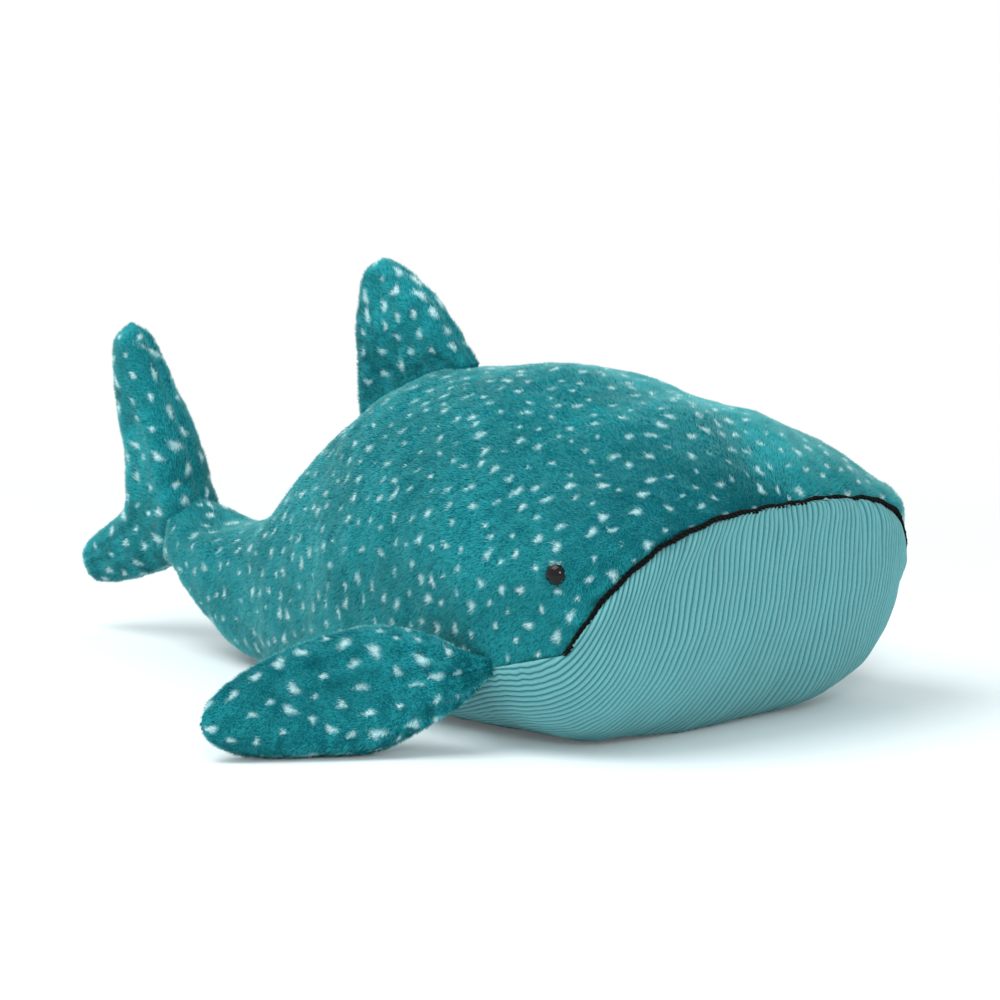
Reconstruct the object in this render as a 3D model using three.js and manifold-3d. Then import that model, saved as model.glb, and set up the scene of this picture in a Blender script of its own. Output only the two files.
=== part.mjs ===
// A plush whale shark: two plush panels and a corduroy belly sewn round a filling, with a dorsal fin,
// a tail fin and two pectoral fins that each hang on a narrow seam.
// Millimetres. +X points to the nose, +Y to the toy's own left, +Z up. The origin is under the middle
// of the toy, on the surface that it lies on.
import * as THREE from "three";
import { mergeVertices } from "three/addons/utils/BufferGeometryUtils.js";
import Module from "manifold-3d";

const wasm = await Module();
wasm.setup();

// Fabrics and clearances
const plushThickness = 3.0;
const corduroyThickness = 2.2;
const finPlushThickness = 2.2;
const seamGap = 0.3;
const fillingGap = 0.3;
const finFillingGap = 0.5;
// The share of a fin's length that its filling stays clear of its faces at each end
const finFillingEnd = 0.008;
// Between a fin's edge seam and the body that it hangs on
const hingeGap = 0.85;

// The body's sections, from the end of the stalk to the head. Each gives half the width, the heights of
// the top and of the underside, and the height at which the section is widest.
const bodyStations = [
  { x: -184, halfWidth: 27, top: 92, bottom: 48, widest: 71 },
  { x: -169, halfWidth: 28, top: 86, bottom: 45.5, widest: 68 },
  { x: -135, halfWidth: 36, top: 74, bottom: 22, widest: 63 },
  { x: -91, halfWidth: 50, top: 83, bottom: 1, widest: 61 },
  { x: -32, halfWidth: 73, top: 141, bottom: -4, widest: 66 },
  { x: 36, halfWidth: 103, top: 173, bottom: -3, widest: 79 },
  { x: 114, halfWidth: 125, top: 179, bottom: -3, widest: 92 },
  { x: 182, halfWidth: 137, top: 166.5, bottom: -4, widest: 90.5 },
];
const noseX = 260;
const noseHeight = 119.4;
// How blunt the head closes: 2 is round, more is squarer, less is sharper.
const noseBluntness = { width: 3.53, top: 1.49, bottom: 2.42 };
const backRoundness = 1.71;
const bellyRoundness = 3.5;
const bodyRings = 20;
const noseRings = 8;
const tailRings = 4;
const ringPoints = 24;

// The seam that closes the stalk and holds the tail fin, seen from the side
const stalkSeamTop = { x: -166, z: 87 };
const stalkSeamBottom = { x: -182, z: 47.5 };
const stalkPinchStart = -150;
const stalkPinchRate = 1.6;
const stalkSeamHalf = 1.6;
const stalkHollowStart = 0.3;

// Where plush meets corduroy: seen from the side, and under the belly as a half width
const sideSeam = [
  [-230, 24],
  [60, 24],
  [120, 31],
  [176, 43],
];
const mouthCorner = [222.5, 54.4];
const lipSag = 3.2;
const bellyPanel = [
  { x: -128, half: 0 },
  { x: -105, half: 14 },
  { x: -50, half: 46 },
  { x: 20, half: 84 },
  { x: 75, half: 112 },
  { x: 110, half: 160 },
];
const mouthCordRadius = 1.6;
const mouthCordSteps = 48;
const mouthCordSides = 8;

// Eyes: a domed bead on a stem, held behind the plush by a lock washer
const eyeX = 220.5;
const eyeHeight = 94;
const eyeRadius = 6;
const eyeRise = 4.4;
const eyeSunk = 1.2;
const stemRadius = 2.4;
const stemLength = 9;
const washerRadius = 8;
const washerThickness = 1.4;
const washerHubRadius = 4.2;
const washerHub = 1.4;
const eyeFit = 0.3;

// Pellet pouch, lying on the belly panel
const pouchCentreX = 96;
const pouchLength = 150;
const pouchWidth = 100;
const pouchHeight = 24;
const pouchSquareness = 0.7;

// Dorsal fin, from its base up: the front and the back edge seen from the side, and half the thickness.
// The base follows the ridge of the back, and its filling runs between two shares of the height.
const dorsal = {
  baseFront: 47,
  baseBack: -36,
  filled: { from: 0.16, to: 0.9 },
  stations: [
    { front: [33.5, 189], back: [-36.8, 162], half: 11.5 },
    { front: [19, 205], back: [-37, 184], half: 12.5 },
    { front: [5, 215.5], back: [-36, 203], half: 11 },
    { front: [-7, 223], back: [-33, 218], half: 8 },
    { front: [-16, 227.2], back: [-26, 225.6], half: 3.4 },
  ],
};
// How fast the rows above the base straighten out
const baseFade = 6;

// Tail fin, from the lower tip to the upper tip, seen from the side. The seam on the stalk is its
// front edge between the two stations marked as root.
const tailFin = [
  { front: [-255, 31.5], back: [-261.5, 40], half: 2 },
  { front: [-241, 29.5], back: [-253, 50], half: 9.5 },
  { front: [-213, 35], back: [-236, 62.5], half: 12 },
  { root: true, back: [-222, 76], half: 12.5 },
  { root: true, back: [-221, 97], half: 13.5 },
  { front: [-167.5, 114], back: [-226, 124], half: 13.5 },
  { front: [-184.5, 146], back: [-231, 150], half: 12.5 },
  { front: [-203, 171], back: [-231, 168], half: 9.5 },
  { front: [-213.5, 178.5], back: [-223, 177.6], half: 2 },
];
const tailFinFilled = { from: 0.09, to: 0.93 };
const tailFinRows = 16;

// Pectoral fin: its seam on the body's side, then from there out how far along, the heights of its upper
// and lower edge, how far the upper edge leans in to the body, and half the thickness. The lower edge
// lies on the table.
const pectoralRoot = { x: 176, height: 44, chord: 14 };
const pectoralSweep = 39;
const pectoralFilled = { from: 0.13, to: 0.9 };
const pectoral = [
  { along: 14, high: 55, low: 23.5, lean: 3, half: 6.5 },
  { along: 32, high: 61, low: 12.5, lean: 15, half: 11.5 },
  { along: 55, high: 62.5, low: 2.5, lean: 25, half: 13.5 },
  { along: 80, high: 57.5, low: 0.6, lean: 27, half: 14 },
  { along: 104, high: 50, low: 0.6, lean: 22, half: 13 },
  { along: 125, high: 40.5, low: 4.5, lean: 13, half: 10 },
  { along: 137, high: 32, low: 12.5, lean: 6, half: 6 },
  { along: 141.5, high: 25.5, low: 18.5, lean: 2, half: 1.5 },
];

// How the fins are padded: half the thickness at an edge seam, and how full the crown is between two
// edge seams, where less is fuller.
const finEdgeHalf = 0.8;
const crownFullness = 0.62;
const finRows = 12;
const finColumns = 8;
const fillingRows = 8;
const fillingColumns = 6;
const widestMargin = 0.4;

// Materials
const plush = () => new THREE.MeshStandardMaterial({ color: 0x318a92, roughness: 1 });
const corduroy = () => new THREE.MeshStandardMaterial({ color: 0x6fadb2, roughness: 0.95 });
const cord = () => new THREE.MeshStandardMaterial({ color: 0x17181b, roughness: 0.8 });
const gloss = () => new THREE.MeshStandardMaterial({ color: 0x0b0b0d, roughness: 0.12 });
const washerPlastic = () => new THREE.MeshStandardMaterial({ color: 0xe8e6e0, roughness: 0.5 });
const fibre = () => new THREE.MeshStandardMaterial({ color: 0xf3f1ec, roughness: 1 });
const pouchCloth = () => new THREE.MeshStandardMaterial({ color: 0xd8d4c8, roughness: 0.95 });

// A curve through values at places, which never overshoots between them, flat past its ends.
function smoothThrough(places, values) {
  const last = places.length - 1;
  const rise = places.slice(1).map((x, i) => (values[i + 1] - values[i]) / (x - places[i]));
  const slope = places.map((x, i) => {
    if (i === 0 || i === last) return 0;
    const before = rise[i - 1];
    const after = rise[i];
    return before * after <= 0 ? 0 : (2 * before * after) / (before + after);
  });
  return (x) => {
    const at = THREE.MathUtils.clamp(x, places[0], places[last]);
    let i = 0;
    while (i < last - 1 && at > places[i + 1]) i += 1;
    const run = places[i + 1] - places[i];
    const t = (at - places[i]) / run;
    const start = values[i] + t * t * (3 - 2 * t) * (values[i + 1] - values[i]);
    return start + run * (t * (1 - t) ** 2 * slope[i] - t * t * (1 - t) * slope[i + 1]);
  };
}

const stationX = bodyStations.map((s) => s.x);
const alongBody = (key) => smoothThrough(stationX, bodyStations.map((s) => s[key]));
const profile = {
  halfWidth: alongBody("halfWidth"),
  top: alongBody("top"),
  bottom: alongBody("bottom"),
  widest: alongBody("widest"),
};
const headX = stationX[stationX.length - 1];

// The body's section at one x, with the head closing to the nose along quarter superellipses.
// A positive inset gives the section that much inside the skin.
function sectionAt(x, inset = 0) {
  const reach = THREE.MathUtils.clamp((x - headX) / (noseX - inset - headX), 0, 1);
  const close = (power) => (1 - reach ** power) ** (1 / power);
  const at = Math.min(x, headX);
  const toNose = (value, power) => noseHeight + (value - noseHeight) * close(power);
  const bottom = toNose(profile.bottom(at) + inset, noseBluntness.bottom);
  const top = toNose(profile.top(at) - inset, noseBluntness.top);
  const widest = THREE.MathUtils.clamp(toNose(profile.widest(at), 2), bottom, top);
  return { halfWidth: (profile.halfWidth(at) - inset) * close(noseBluntness.width), top, bottom, widest };
}

// Half the width of a section at a height.
function halfWidthAt(section, z) {
  const above = z > section.widest;
  const height = above ? section.top - section.widest : section.widest - section.bottom;
  const power = above ? backRoundness : bellyRoundness;
  const share = height > 0 ? Math.min(Math.abs(z - section.widest) / height, 1) : 1;
  return section.halfWidth * (1 - share ** power) ** (1 / power);
}

// One ring of the body: a superellipse above and below its widest height, cut flat where it lies on
// the surface. Its plane leans from xTop at the top to xBottom at the underside.
function bodyRing(section, xTop, xBottom, floor) {
  const ring = [];
  for (let j = 0; j < ringPoints; j += 1) {
    const angle = (2 * Math.PI * j) / ringPoints;
    const across = Math.cos(angle);
    const up = Math.sin(angle);
    const power = 2 / (up > 0 ? backRoundness : bellyRoundness);
    const height = up > 0 ? section.top - section.widest : section.widest - section.bottom;
    const z = section.widest + height * Math.sign(up) * Math.abs(up) ** power;
    const share = (z - section.bottom) / (section.top - section.bottom);
    const y = section.halfWidth * Math.sign(across) * Math.abs(across) ** power;
    ring.push(new THREE.Vector3(xBottom + (xTop - xBottom) * share, y, Math.max(z, floor)));
  }
  return ring;
}

// Rings of equal counts joined into one closed skin, each four-sided patch split along its shorter
// diagonal. An end ring is closed by strips between its two sides, which lie opposite each other, and
// the last ring closes on the tip where there is one.
function skinOver(rings, tip) {
  const count = rings[0].length;
  const points = rings.flat();
  const faces = [];
  const last = (rings.length - 1) * count;
  const apart = (a, b) => points[a].distanceToSquared(points[b]);
  for (let j = 0; j < count; j += 1) {
    const k = (j + 1) % count;
    for (let i = 0; i < last; i += count) {
      const [a, b, c, d] = [i + j, i + count + j, i + count + k, i + k];
      const split = apart(a, c) <= apart(b, d) ? [a, b, c, a, c, d] : [a, b, d, b, c, d];
      faces.push(...split);
    }
    if (tip) faces.push(points.length, last + k, last + j);
  }
  if (tip) points.push(tip);
  for (let j = 0; j < count / 2 - 1; j += 1) {
    const across = [j, j + 1, count - 2 - j, count - 1 - j];
    faces.push(across[0], across[1], across[2], across[0], across[2], across[3]);
    if (!tip) faces.push(...[2, 1, 0, 3, 2, 0].map((corner) => last + across[corner]));
  }
  const geometry = new THREE.BufferGeometry().setFromPoints(points);
  geometry.setIndex(faces);
  return geometry;
}

// A closed geometry as a solid that can be joined and cut; one that faces inwards is turned round.
function solid(geometry, matrix) {
  const bare = new THREE.BufferGeometry().setAttribute("position", geometry.getAttribute("position").clone());
  bare.setIndex(geometry.index);
  if (matrix) bare.applyMatrix4(matrix);
  const merged = mergeVertices(bare, 1e-4);
  const make = (indices) =>
    new wasm.Manifold(
      new wasm.Mesh({ numProp: 3, vertProperties: merged.attributes.position.array, triVerts: indices }),
    );
  const faces = new Uint32Array(merged.index.array);
  const made = make(faces);
  return made.volume() < 0 ? make(faces.slice().reverse()) : made;
}

function geometryOf(made) {
  const mesh = made.getMesh();
  const points = new Float32Array(mesh.numVert * 3);
  for (let i = 0; i < mesh.numVert; i += 1) {
    points.set(mesh.vertProperties.subarray(i * mesh.numProp, i * mesh.numProp + 3), i * 3);
  }
  const geometry = new THREE.BufferGeometry();
  geometry.setAttribute("position", new THREE.BufferAttribute(points, 3));
  geometry.setIndex(new THREE.BufferAttribute(new Uint32Array(mesh.triVerts), 1));
  geometry.computeVertexNormals();
  return geometry;
}

const toy = new THREE.Group();

function add(name, made, material) {
  const mesh = new THREE.Mesh(geometryOf(made), material);
  mesh.name = name;
  toy.add(mesh);
}

// The whole body inside a skin of the given thickness. Its stalk is pinched to the seam of the tail fin.
function bodySolid(inset) {
  const rings = [];
  for (let i = 0; i < tailRings; i += 1) {
    const open = THREE.MathUtils.lerp(inset > 0 ? stalkHollowStart : 0, 1, i / tailRings);
    const xTop = THREE.MathUtils.lerp(stalkSeamTop.x + inset, stalkPinchStart, open);
    const xBottom = THREE.MathUtils.lerp(stalkSeamBottom.x + inset, stalkPinchStart, open);
    const full = sectionAt((xTop + xBottom) / 2, inset);
    const pinch = Math.sin((Math.PI / 2) * Math.min(open * stalkPinchRate, 1));
    rings.push(
      bodyRing(
        {
          halfWidth: THREE.MathUtils.lerp(stalkSeamHalf, full.halfWidth, pinch),
          top: profile.top(xTop) - inset,
          bottom: profile.bottom(xBottom) + inset,
          widest: full.widest,
        },
        xTop,
        xBottom,
        inset,
      ),
    );
  }
  for (let i = 0; i <= bodyRings; i += 1) {
    const x = THREE.MathUtils.lerp(stalkPinchStart, headX, i / bodyRings);
    rings.push(bodyRing(sectionAt(x, inset), x, x, inset));
  }
  for (let i = 1; i < noseRings; i += 1) {
    const x = headX + (noseX - inset - headX) * Math.sin((Math.PI / 2) * (i / noseRings));
    rings.push(bodyRing(sectionAt(x, inset), x, x, inset));
  }
  return solid(skinOver(rings, new THREE.Vector3(noseX - inset, 0, noseHeight)));
}

// The height of the mouth seam, which runs from the corner to the nose with a slight sag.
function lipHeight(x) {
  const share = (x - mouthCorner[0]) / (noseX - mouthCorner[0]);
  return mouthCorner[1] + (noseHeight - mouthCorner[1]) * share - 4 * lipSag * share * (1 - share);
}

const lipPoints = (steps) =>
  Array.from({ length: steps + 1 }, (_, i) => {
    const x = THREE.MathUtils.lerp(mouthCorner[0], noseX, i / steps);
    return [x, lipHeight(x)];
  });

// A prism whose outline is drawn in one plane and that runs along the third axis.
function prism(outline, depth, axis) {
  const shape = new THREE.Shape(outline.map(([a, b]) => new THREE.Vector2(a, b)));
  const geometry = new THREE.ExtrudeGeometry(shape, { depth, bevelEnabled: false });
  geometry.translate(0, 0, -depth / 2);
  if (axis === "y") geometry.rotateX(Math.PI / 2);
  return solid(geometry);
}

// Everything under the seam between plush and corduroy, drawn in or let out by a shift. A cutting solid
// reaches the length of the body each way.
const cutReach = noseX - bodyStations[0].x;
const beyondNose = 60;
function underSeam(shift) {
  const step = shift * Math.SQRT1_2;
  const line = [...sideSeam, ...lipPoints(6)].map(([x, z]) => [x + step, z - step]);
  const end = line[line.length - 1];
  const ahead = [end[0] + beyondNose, end[1] + beyondNose];
  const side = [...line, ahead, [cutReach, -cutReach], [-cutReach, -cutReach], [-cutReach, line[0][1]]];
  const half = bellyPanel.map(({ x, half }) => [x + shift, Math.max(half - shift, 0)]);
  const first = half.shift();
  const plan = [[first[0], 0], ...half, [cutReach, cutReach], [cutReach, -cutReach]];
  plan.push(...half.map(([x, y]) => [x, -y]).reverse());
  return prism(side, 2 * cutReach, "y").intersect(prism(plan, 2 * cutReach, "z"));
}

function slab(yFrom, yTo) {
  const geometry = new THREE.BoxGeometry(2 * cutReach, yTo - yFrom, 2 * cutReach);
  geometry.translate(0, (yFrom + yTo) / 2, 0);
  return solid(geometry);
}

// The mouth cord's route: from the right corner of the mouth, along the lip and round the nose, to the left.
function lipRoute(extra) {
  const points = [];
  const half = 12;
  for (let i = -half; i <= half; i += 1) {
    const share = 1 - Math.abs(i) / half;
    const x = THREE.MathUtils.lerp(mouthCorner[0], noseX, Math.sin((Math.PI / 2) * share));
    const z = lipHeight(x);
    points.push(new THREE.Vector3(x, Math.sign(i) * halfWidthAt(sectionAt(x), z), z));
  }
  if (extra > 0) {
    const away = (tip, next) => tip.clone().add(tip.clone().sub(next).setLength(extra));
    points.unshift(away(points[0], points[1]));
    points.push(away(points[points.length - 1], points[points.length - 2]));
  }
  return new THREE.CatmullRomCurve3(points);
}

function lipTube(radius, extra = 0) {
  const circle = new THREE.Shape();
  for (let i = 0; i < mouthCordSides; i += 1) {
    const angle = (2 * Math.PI * i) / mouthCordSides;
    const place = [radius * Math.cos(angle), radius * Math.sin(angle)];
    if (i === 0) circle.moveTo(...place);
    else circle.lineTo(...place);
  }
  circle.closePath();
  const settings = { steps: mouthCordSteps, extrudePath: lipRoute(extra), bevelEnabled: false };
  return solid(new THREE.ExtrudeGeometry(circle, settings));
}

// The frame of an eye: its middle on the plush, with +Y of the piece pointing out of the head.
function eyeFrame(side) {
  const y = (x, z) => halfWidthAt(sectionAt(x), z);
  const step = 0.5;
  const out = new THREE.Vector3(
    (y(eyeX - step, eyeHeight) - y(eyeX + step, eyeHeight)) / (2 * step),
    1,
    (y(eyeX, eyeHeight - step) - y(eyeX, eyeHeight + step)) / (2 * step),
  ).normalize();
  out.y *= side;
  const turn = new THREE.Quaternion().setFromUnitVectors(new THREE.Vector3(0, 1, 0), out);
  const place = new THREE.Vector3(eyeX, side * y(eyeX, eyeHeight), eyeHeight);
  return new THREE.Matrix4().compose(place, turn, new THREE.Vector3(1, 1, 1));
}

function lathe(profilePoints, frame, segments = 16) {
  const points = profilePoints.map(([r, h]) => new THREE.Vector2(r, h));
  return solid(new THREE.LatheGeometry(points, segments), frame);
}

function eyeBead(frame) {
  const dome = [];
  const steps = 5;
  for (let i = 1; i <= steps; i += 1) {
    const angle = (Math.PI / 2) * (i / steps);
    dome.push([eyeRadius * Math.cos(angle), eyeRise * Math.sin(angle)]);
  }
  dome[dome.length - 1][0] = 0;
  const top = dome.map(([r, h]) => [r, h - eyeSunk + eyeFit]);
  const stem = [
    [0, -eyeSunk - stemLength],
    [stemRadius * 0.8, -eyeSunk - stemLength],
    [stemRadius, -eyeSunk - stemLength + 1],
    [stemRadius, -eyeSunk + eyeFit],
    [eyeRadius, -eyeSunk + eyeFit],
  ];
  return lathe([...stem, ...top], frame);
}

const washerFace = -plushThickness - 2 * fillingGap;

function eyeWasher(frame) {
  const face = washerFace;
  const bore = stemRadius + eyeFit;
  return lathe(
    [
      [bore, face],
      [bore, face - washerThickness - washerHub],
      [washerHubRadius, face - washerThickness - washerHub],
      [washerHubRadius + 0.6, face - washerThickness],
      [washerRadius, face - washerThickness],
      [washerRadius, face],
      [bore, face],
    ],
    frame,
  );
}

// What the eye and its washer take out of the plush panel and of the filling.
function eyeSeat(frame) {
  const behind = washerFace - washerThickness - washerHub;
  const seat = [
    [0, behind],
    [washerRadius + eyeFit, behind],
    [washerRadius + eyeFit, washerFace + fillingGap],
    [stemRadius + eyeFit, washerFace + fillingGap],
    [stemRadius + eyeFit, -eyeSunk],
    [eyeRadius + eyeFit, -eyeSunk],
    [eyeRadius + eyeFit, eyeRise * 2],
    [0, eyeRise * 2],
  ];
  return lathe(seat, frame);
}

function washerPocket(frame) {
  const wide = washerRadius + 2 * eyeFit;
  const deep = -eyeSunk - stemLength - 2 * eyeFit;
  return lathe([[0, deep], [stemRadius * 2, deep], [wide, deep + 4], [wide, eyeRise], [0, eyeRise]], frame);
}

// A padded form over a sheet. The sheet gives a point, the direction of its thickness and half that
// thickness for u along the form and v across it. A face is the half on one side, a filling lies inside.
function padded(sheet, { rows, columns, from = 0, to = 1, side = 0, inset = 0 }) {
  const rings = [];
  for (let i = 0; i <= rows; i += 1) {
    const u = THREE.MathUtils.lerp(from, to, i / rows);
    const width = sheet(u, 0).point.distanceTo(sheet(u, 1).point);
    const margin = Math.min(inset / width, widestMargin);
    const over = [];
    const under = [];
    for (let j = 0; j <= columns; j += 1) {
      const turn = (1 - Math.cos((Math.PI * j) / columns)) / 2;
      const at = sheet(u, THREE.MathUtils.lerp(margin, 1 - margin, turn));
      const half = Math.max(at.half - inset, 0.5 * finEdgeHalf);
      const lift = (distance) => {
        const point = at.point.clone().addScaledVector(at.out, distance);
        point.z = Math.max(point.z, inset);
        return point;
      };
      over.push(lift(side < 0 ? -seamGap / 2 : half));
      under.push(lift(side > 0 ? seamGap / 2 : -half));
    }
    rings.push([...over, ...under.reverse()]);
  }
  return solid(skinOver(rings));
}

// The crown of a padded form from one edge seam to the other.
const crown = (v) => Math.sin(Math.PI * v) ** crownFullness;

// A sheet between two edge curves that pass through stations.
function sheetBetween(fronts, backs, halves, out) {
  const front = new THREE.CatmullRomCurve3(fronts, false, "centripetal");
  const back = new THREE.CatmullRomCurve3(backs, false, "centripetal");
  const places = halves.map((_, i) => i / (halves.length - 1));
  const half = smoothThrough(places, halves);
  return (u, v) => {
    const a = front.getPoint(u);
    const b = back.getPoint(u);
    return { point: a.clone().lerp(b, v), out: out(u, a, b), half: finEdgeHalf + half(u) * crown(v) };
  };
}

const sideways = new THREE.Vector3(0, 1, 0);
const inPlane = ([x, z]) => new THREE.Vector3(x, 0, z);

// The dorsal fin's sheet: its lowest row lies along the ridge of the back.
function dorsalSheet() {
  const ridge = (x) => profile.top(x) + hingeGap;
  const base = [dorsal.baseFront, dorsal.baseBack].map((x) => inPlane([x, ridge(x)]));
  const fronts = [base[0], ...dorsal.stations.map((s) => inPlane(s.front))];
  const backs = [base[1], ...dorsal.stations.map((s) => inPlane(s.back))];
  const halves = [0, ...dorsal.stations.map((s) => s.half)];
  const flat = sheetBetween(fronts, backs, halves, () => sideways);
  return (u, v) => {
    const at = flat(u, v);
    const start = flat(0, v).point;
    at.point.z += (1 - u) ** baseFade * (ridge(start.x) - start.z);
    return at;
  };
}

// The tail fin's sheet: its front edge is straight along the seam on the stalk.
function tailSheet() {
  const back = stalkSeamTop.x - stalkSeamBottom.x;
  const rise = stalkSeamTop.z - stalkSeamBottom.z;
  const offset = new THREE.Vector3(-rise, 0, back).setLength(hingeGap);
  const rootEnds = [inPlane([stalkSeamBottom.x, stalkSeamBottom.z]), inPlane([stalkSeamTop.x, stalkSeamTop.z])];
  rootEnds.forEach((end) => end.add(offset));
  const roots = tailFin.map((s, i) => (s.root ? i : -1)).filter((i) => i >= 0);
  const fronts = tailFin.map((s, i) => (s.root ? rootEnds[roots.indexOf(i)].clone() : inPlane(s.front)));
  const halves = tailFin.map((s) => s.half);
  const sheet = sheetBetween(fronts, tailFin.map((s) => inPlane(s.back)), halves, () => sideways);
  const places = roots.map((i) => i / (tailFin.length - 1));
  return (u, v) => {
    const at = sheet(u, v);
    if (u > places[0] && u < places[1]) {
      const straight = rootEnds[0].clone().lerp(rootEnds[1], (u - places[0]) / (places[1] - places[0]));
      at.point.addScaledVector(straight.sub(sheet(u, 0).point), 1 - v);
    }
    return at;
  };
}

// A pectoral fin's sheet on one side of the body, swept back from a short upright root.
function pectoralSheet(side) {
  const section = sectionAt(pectoralRoot.x);
  const onSide = (z) => new THREE.Vector3(pectoralRoot.x, side * (halfWidthAt(section, z) + hingeGap), z);
  const hinge = onSide(pectoralRoot.height);
  const half = pectoralRoot.chord / 2;
  const sweep = THREE.MathUtils.degToRad(pectoralSweep);
  const along = new THREE.Vector3(-Math.sin(sweep), side * Math.cos(sweep), 0);
  const inwards = new THREE.Vector3(-Math.cos(sweep), -side * Math.sin(sweep), 0);
  const edge = (station, height, lean) =>
    new THREE.Vector3(hinge.x, hinge.y, height)
      .addScaledVector(along, station.along)
      .addScaledVector(inwards, lean);
  const uppers = [onSide(hinge.z + half), ...pectoral.map((s) => edge(s, s.high, s.lean))];
  const lowers = [onSide(hinge.z - half), ...pectoral.map((s) => edge(s, s.low, 0))];
  const halves = [0, ...pectoral.map((s) => s.half)];
  const out = (u, a, b) => b.clone().sub(a).cross(along).multiplyScalar(side).normalize();
  return sheetBetween(uppers, lowers, halves, out);
}

// The three solids of a fin: the two faces that are sewn together at the edge, and the filling.
function finSolids(sheet, filled, rows = finRows) {
  const inner = { rows: fillingRows, columns: fillingColumns };
  const hollow = padded(sheet, { ...inner, ...filled, inset: finPlushThickness });
  const face = (side) => padded(sheet, { rows, columns: finColumns, side }).subtract(hollow);
  const ends = { from: filled.from + finFillingEnd, to: filled.to - finFillingEnd };
  const filling = padded(sheet, { ...inner, ...ends, inset: finPlushThickness + finFillingGap });
  return { over: face(1), under: face(-1), filling };
}

function bodyPieces() {
  const outer = bodySolid(0);
  const hollowPlush = bodySolid(plushThickness);
  const hollowCorduroy = bodySolid(corduroyThickness);
  const cordSpace = lipTube(mouthCordRadius + seamGap, 2);
  const back = outer.subtract(hollowPlush).subtract(underSeam(-seamGap / 2)).subtract(cordSpace);
  const frames = { right: eyeFrame(-1), left: eyeFrame(1) };
  const half = { right: slab(-cutReach, -seamGap / 2), left: slab(seamGap / 2, cutReach) };
  let filling = bodySolid(plushThickness + fillingGap);
  for (const side of ["right", "left"]) {
    add(`back_panel_${side}`, back.intersect(half[side]).subtract(eyeSeat(frames[side])), plush());
    filling = filling.subtract(washerPocket(frames[side]));
  }
  const belly = outer.subtract(hollowCorduroy).intersect(underSeam(seamGap / 2)).subtract(cordSpace);
  add("belly_panel", belly, corduroy());
  add("mouth_cord", lipTube(mouthCordRadius), cord());
  for (const side of ["right", "left"]) {
    add(`eye_${side}`, eyeBead(frames[side]), gloss());
    add(`eye_washer_${side}`, eyeWasher(frames[side]), washerPlastic());
  }
  add("body_filling", filling.subtract(pouch(2 * fillingGap)), fibre());
  add("pellet_pouch", pouch(0), pouchCloth());
}

// The pellet pouch: a flat-bottomed cushion. With a clearance it is the space that the filling leaves.
function pouch(clearance) {
  const floor = corduroyThickness + fillingGap;
  const rings = [];
  const rows = 10;
  const around = 16;
  for (let i = 0; i <= rows; i += 1) {
    const angle = -Math.PI / 2 + (Math.PI * (i + 0.5)) / (rows + 1);
    const ring = [];
    for (let j = 0; j < around; j += 1) {
      const turn = (2 * Math.PI * j) / around;
      const square = (value) => Math.sign(value) * Math.abs(value) ** pouchSquareness;
      const half = Math.cos(angle) ** pouchSquareness;
      const y = (pouchWidth / 2 + clearance) * half * square(Math.cos(turn));
      const z = floor + (pouchHeight + clearance) * half * square(Math.sin(turn));
      const x = pouchCentreX + (pouchLength / 2 + clearance) * Math.sin(angle);
      ring.push(new THREE.Vector3(x, y, Math.max(z, clearance > 0 ? -1 : floor)));
    }
    rings.push(ring);
  }
  return solid(skinOver(rings));
}

function fins() {
  const top = finSolids(dorsalSheet(), dorsal.filled);
  add("dorsal_face_left", top.over, plush());
  add("dorsal_face_right", top.under, plush());
  add("dorsal_filling", top.filling, fibre());
  const tail = finSolids(tailSheet(), tailFinFilled, tailFinRows);
  add("tail_fin_face_left", tail.over, plush());
  add("tail_fin_face_right", tail.under, plush());
  add("tail_fin_filling", tail.filling, fibre());
  for (const [name, side] of [["right", -1], ["left", 1]]) {
    const fin = finSolids(pectoralSheet(side), pectoralFilled);
    add(`pectoral_${name}_outer_face`, fin.over, plush());
    add(`pectoral_${name}_inner_face`, fin.under, plush());
    add(`pectoral_${name}_filling`, fin.filling, fibre());
  }
}

bodyPieces();
fins();

export default toy;
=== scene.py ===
"""The looks of a plush whale shark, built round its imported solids.

Shapes are worked out in millimetres with numpy, in the frame of the solids: +X to the nose, +Y to the
toy's own left, +Z up. Each skin is a surface over two parameters, and its pile is fibres on that surface.
"""
import math

import bmesh
import bpy
import numpy as np
from bpy.props import FloatProperty, FloatVectorProperty, IntProperty, PointerProperty
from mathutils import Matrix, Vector


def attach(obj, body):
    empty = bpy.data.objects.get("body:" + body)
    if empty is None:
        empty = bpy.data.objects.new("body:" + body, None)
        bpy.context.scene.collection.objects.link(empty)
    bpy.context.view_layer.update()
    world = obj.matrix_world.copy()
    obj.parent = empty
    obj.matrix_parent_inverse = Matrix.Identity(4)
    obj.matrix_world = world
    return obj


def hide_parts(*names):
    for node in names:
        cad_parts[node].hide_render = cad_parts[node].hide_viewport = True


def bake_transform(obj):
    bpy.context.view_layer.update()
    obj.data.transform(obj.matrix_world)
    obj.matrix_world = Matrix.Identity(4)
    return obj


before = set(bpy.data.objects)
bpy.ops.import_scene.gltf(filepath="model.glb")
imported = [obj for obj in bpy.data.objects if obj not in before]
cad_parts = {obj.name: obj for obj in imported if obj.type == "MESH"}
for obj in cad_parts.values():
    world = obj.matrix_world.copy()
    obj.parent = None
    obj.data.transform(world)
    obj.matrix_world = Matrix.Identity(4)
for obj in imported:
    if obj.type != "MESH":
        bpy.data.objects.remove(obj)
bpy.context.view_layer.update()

bl_info = {
    "name": "Plush Whale Shark",
    "version": (1, 0, 0),
    "blender": (4, 5, 0),
    "location": "View3D > Sidebar > Plush",
    "description": "Dresses a plush whale shark: pile, corduroy belly, corded mouth seam, eyes and sewn fins",
    "category": "Object",
}

METRES = 0.001


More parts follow.
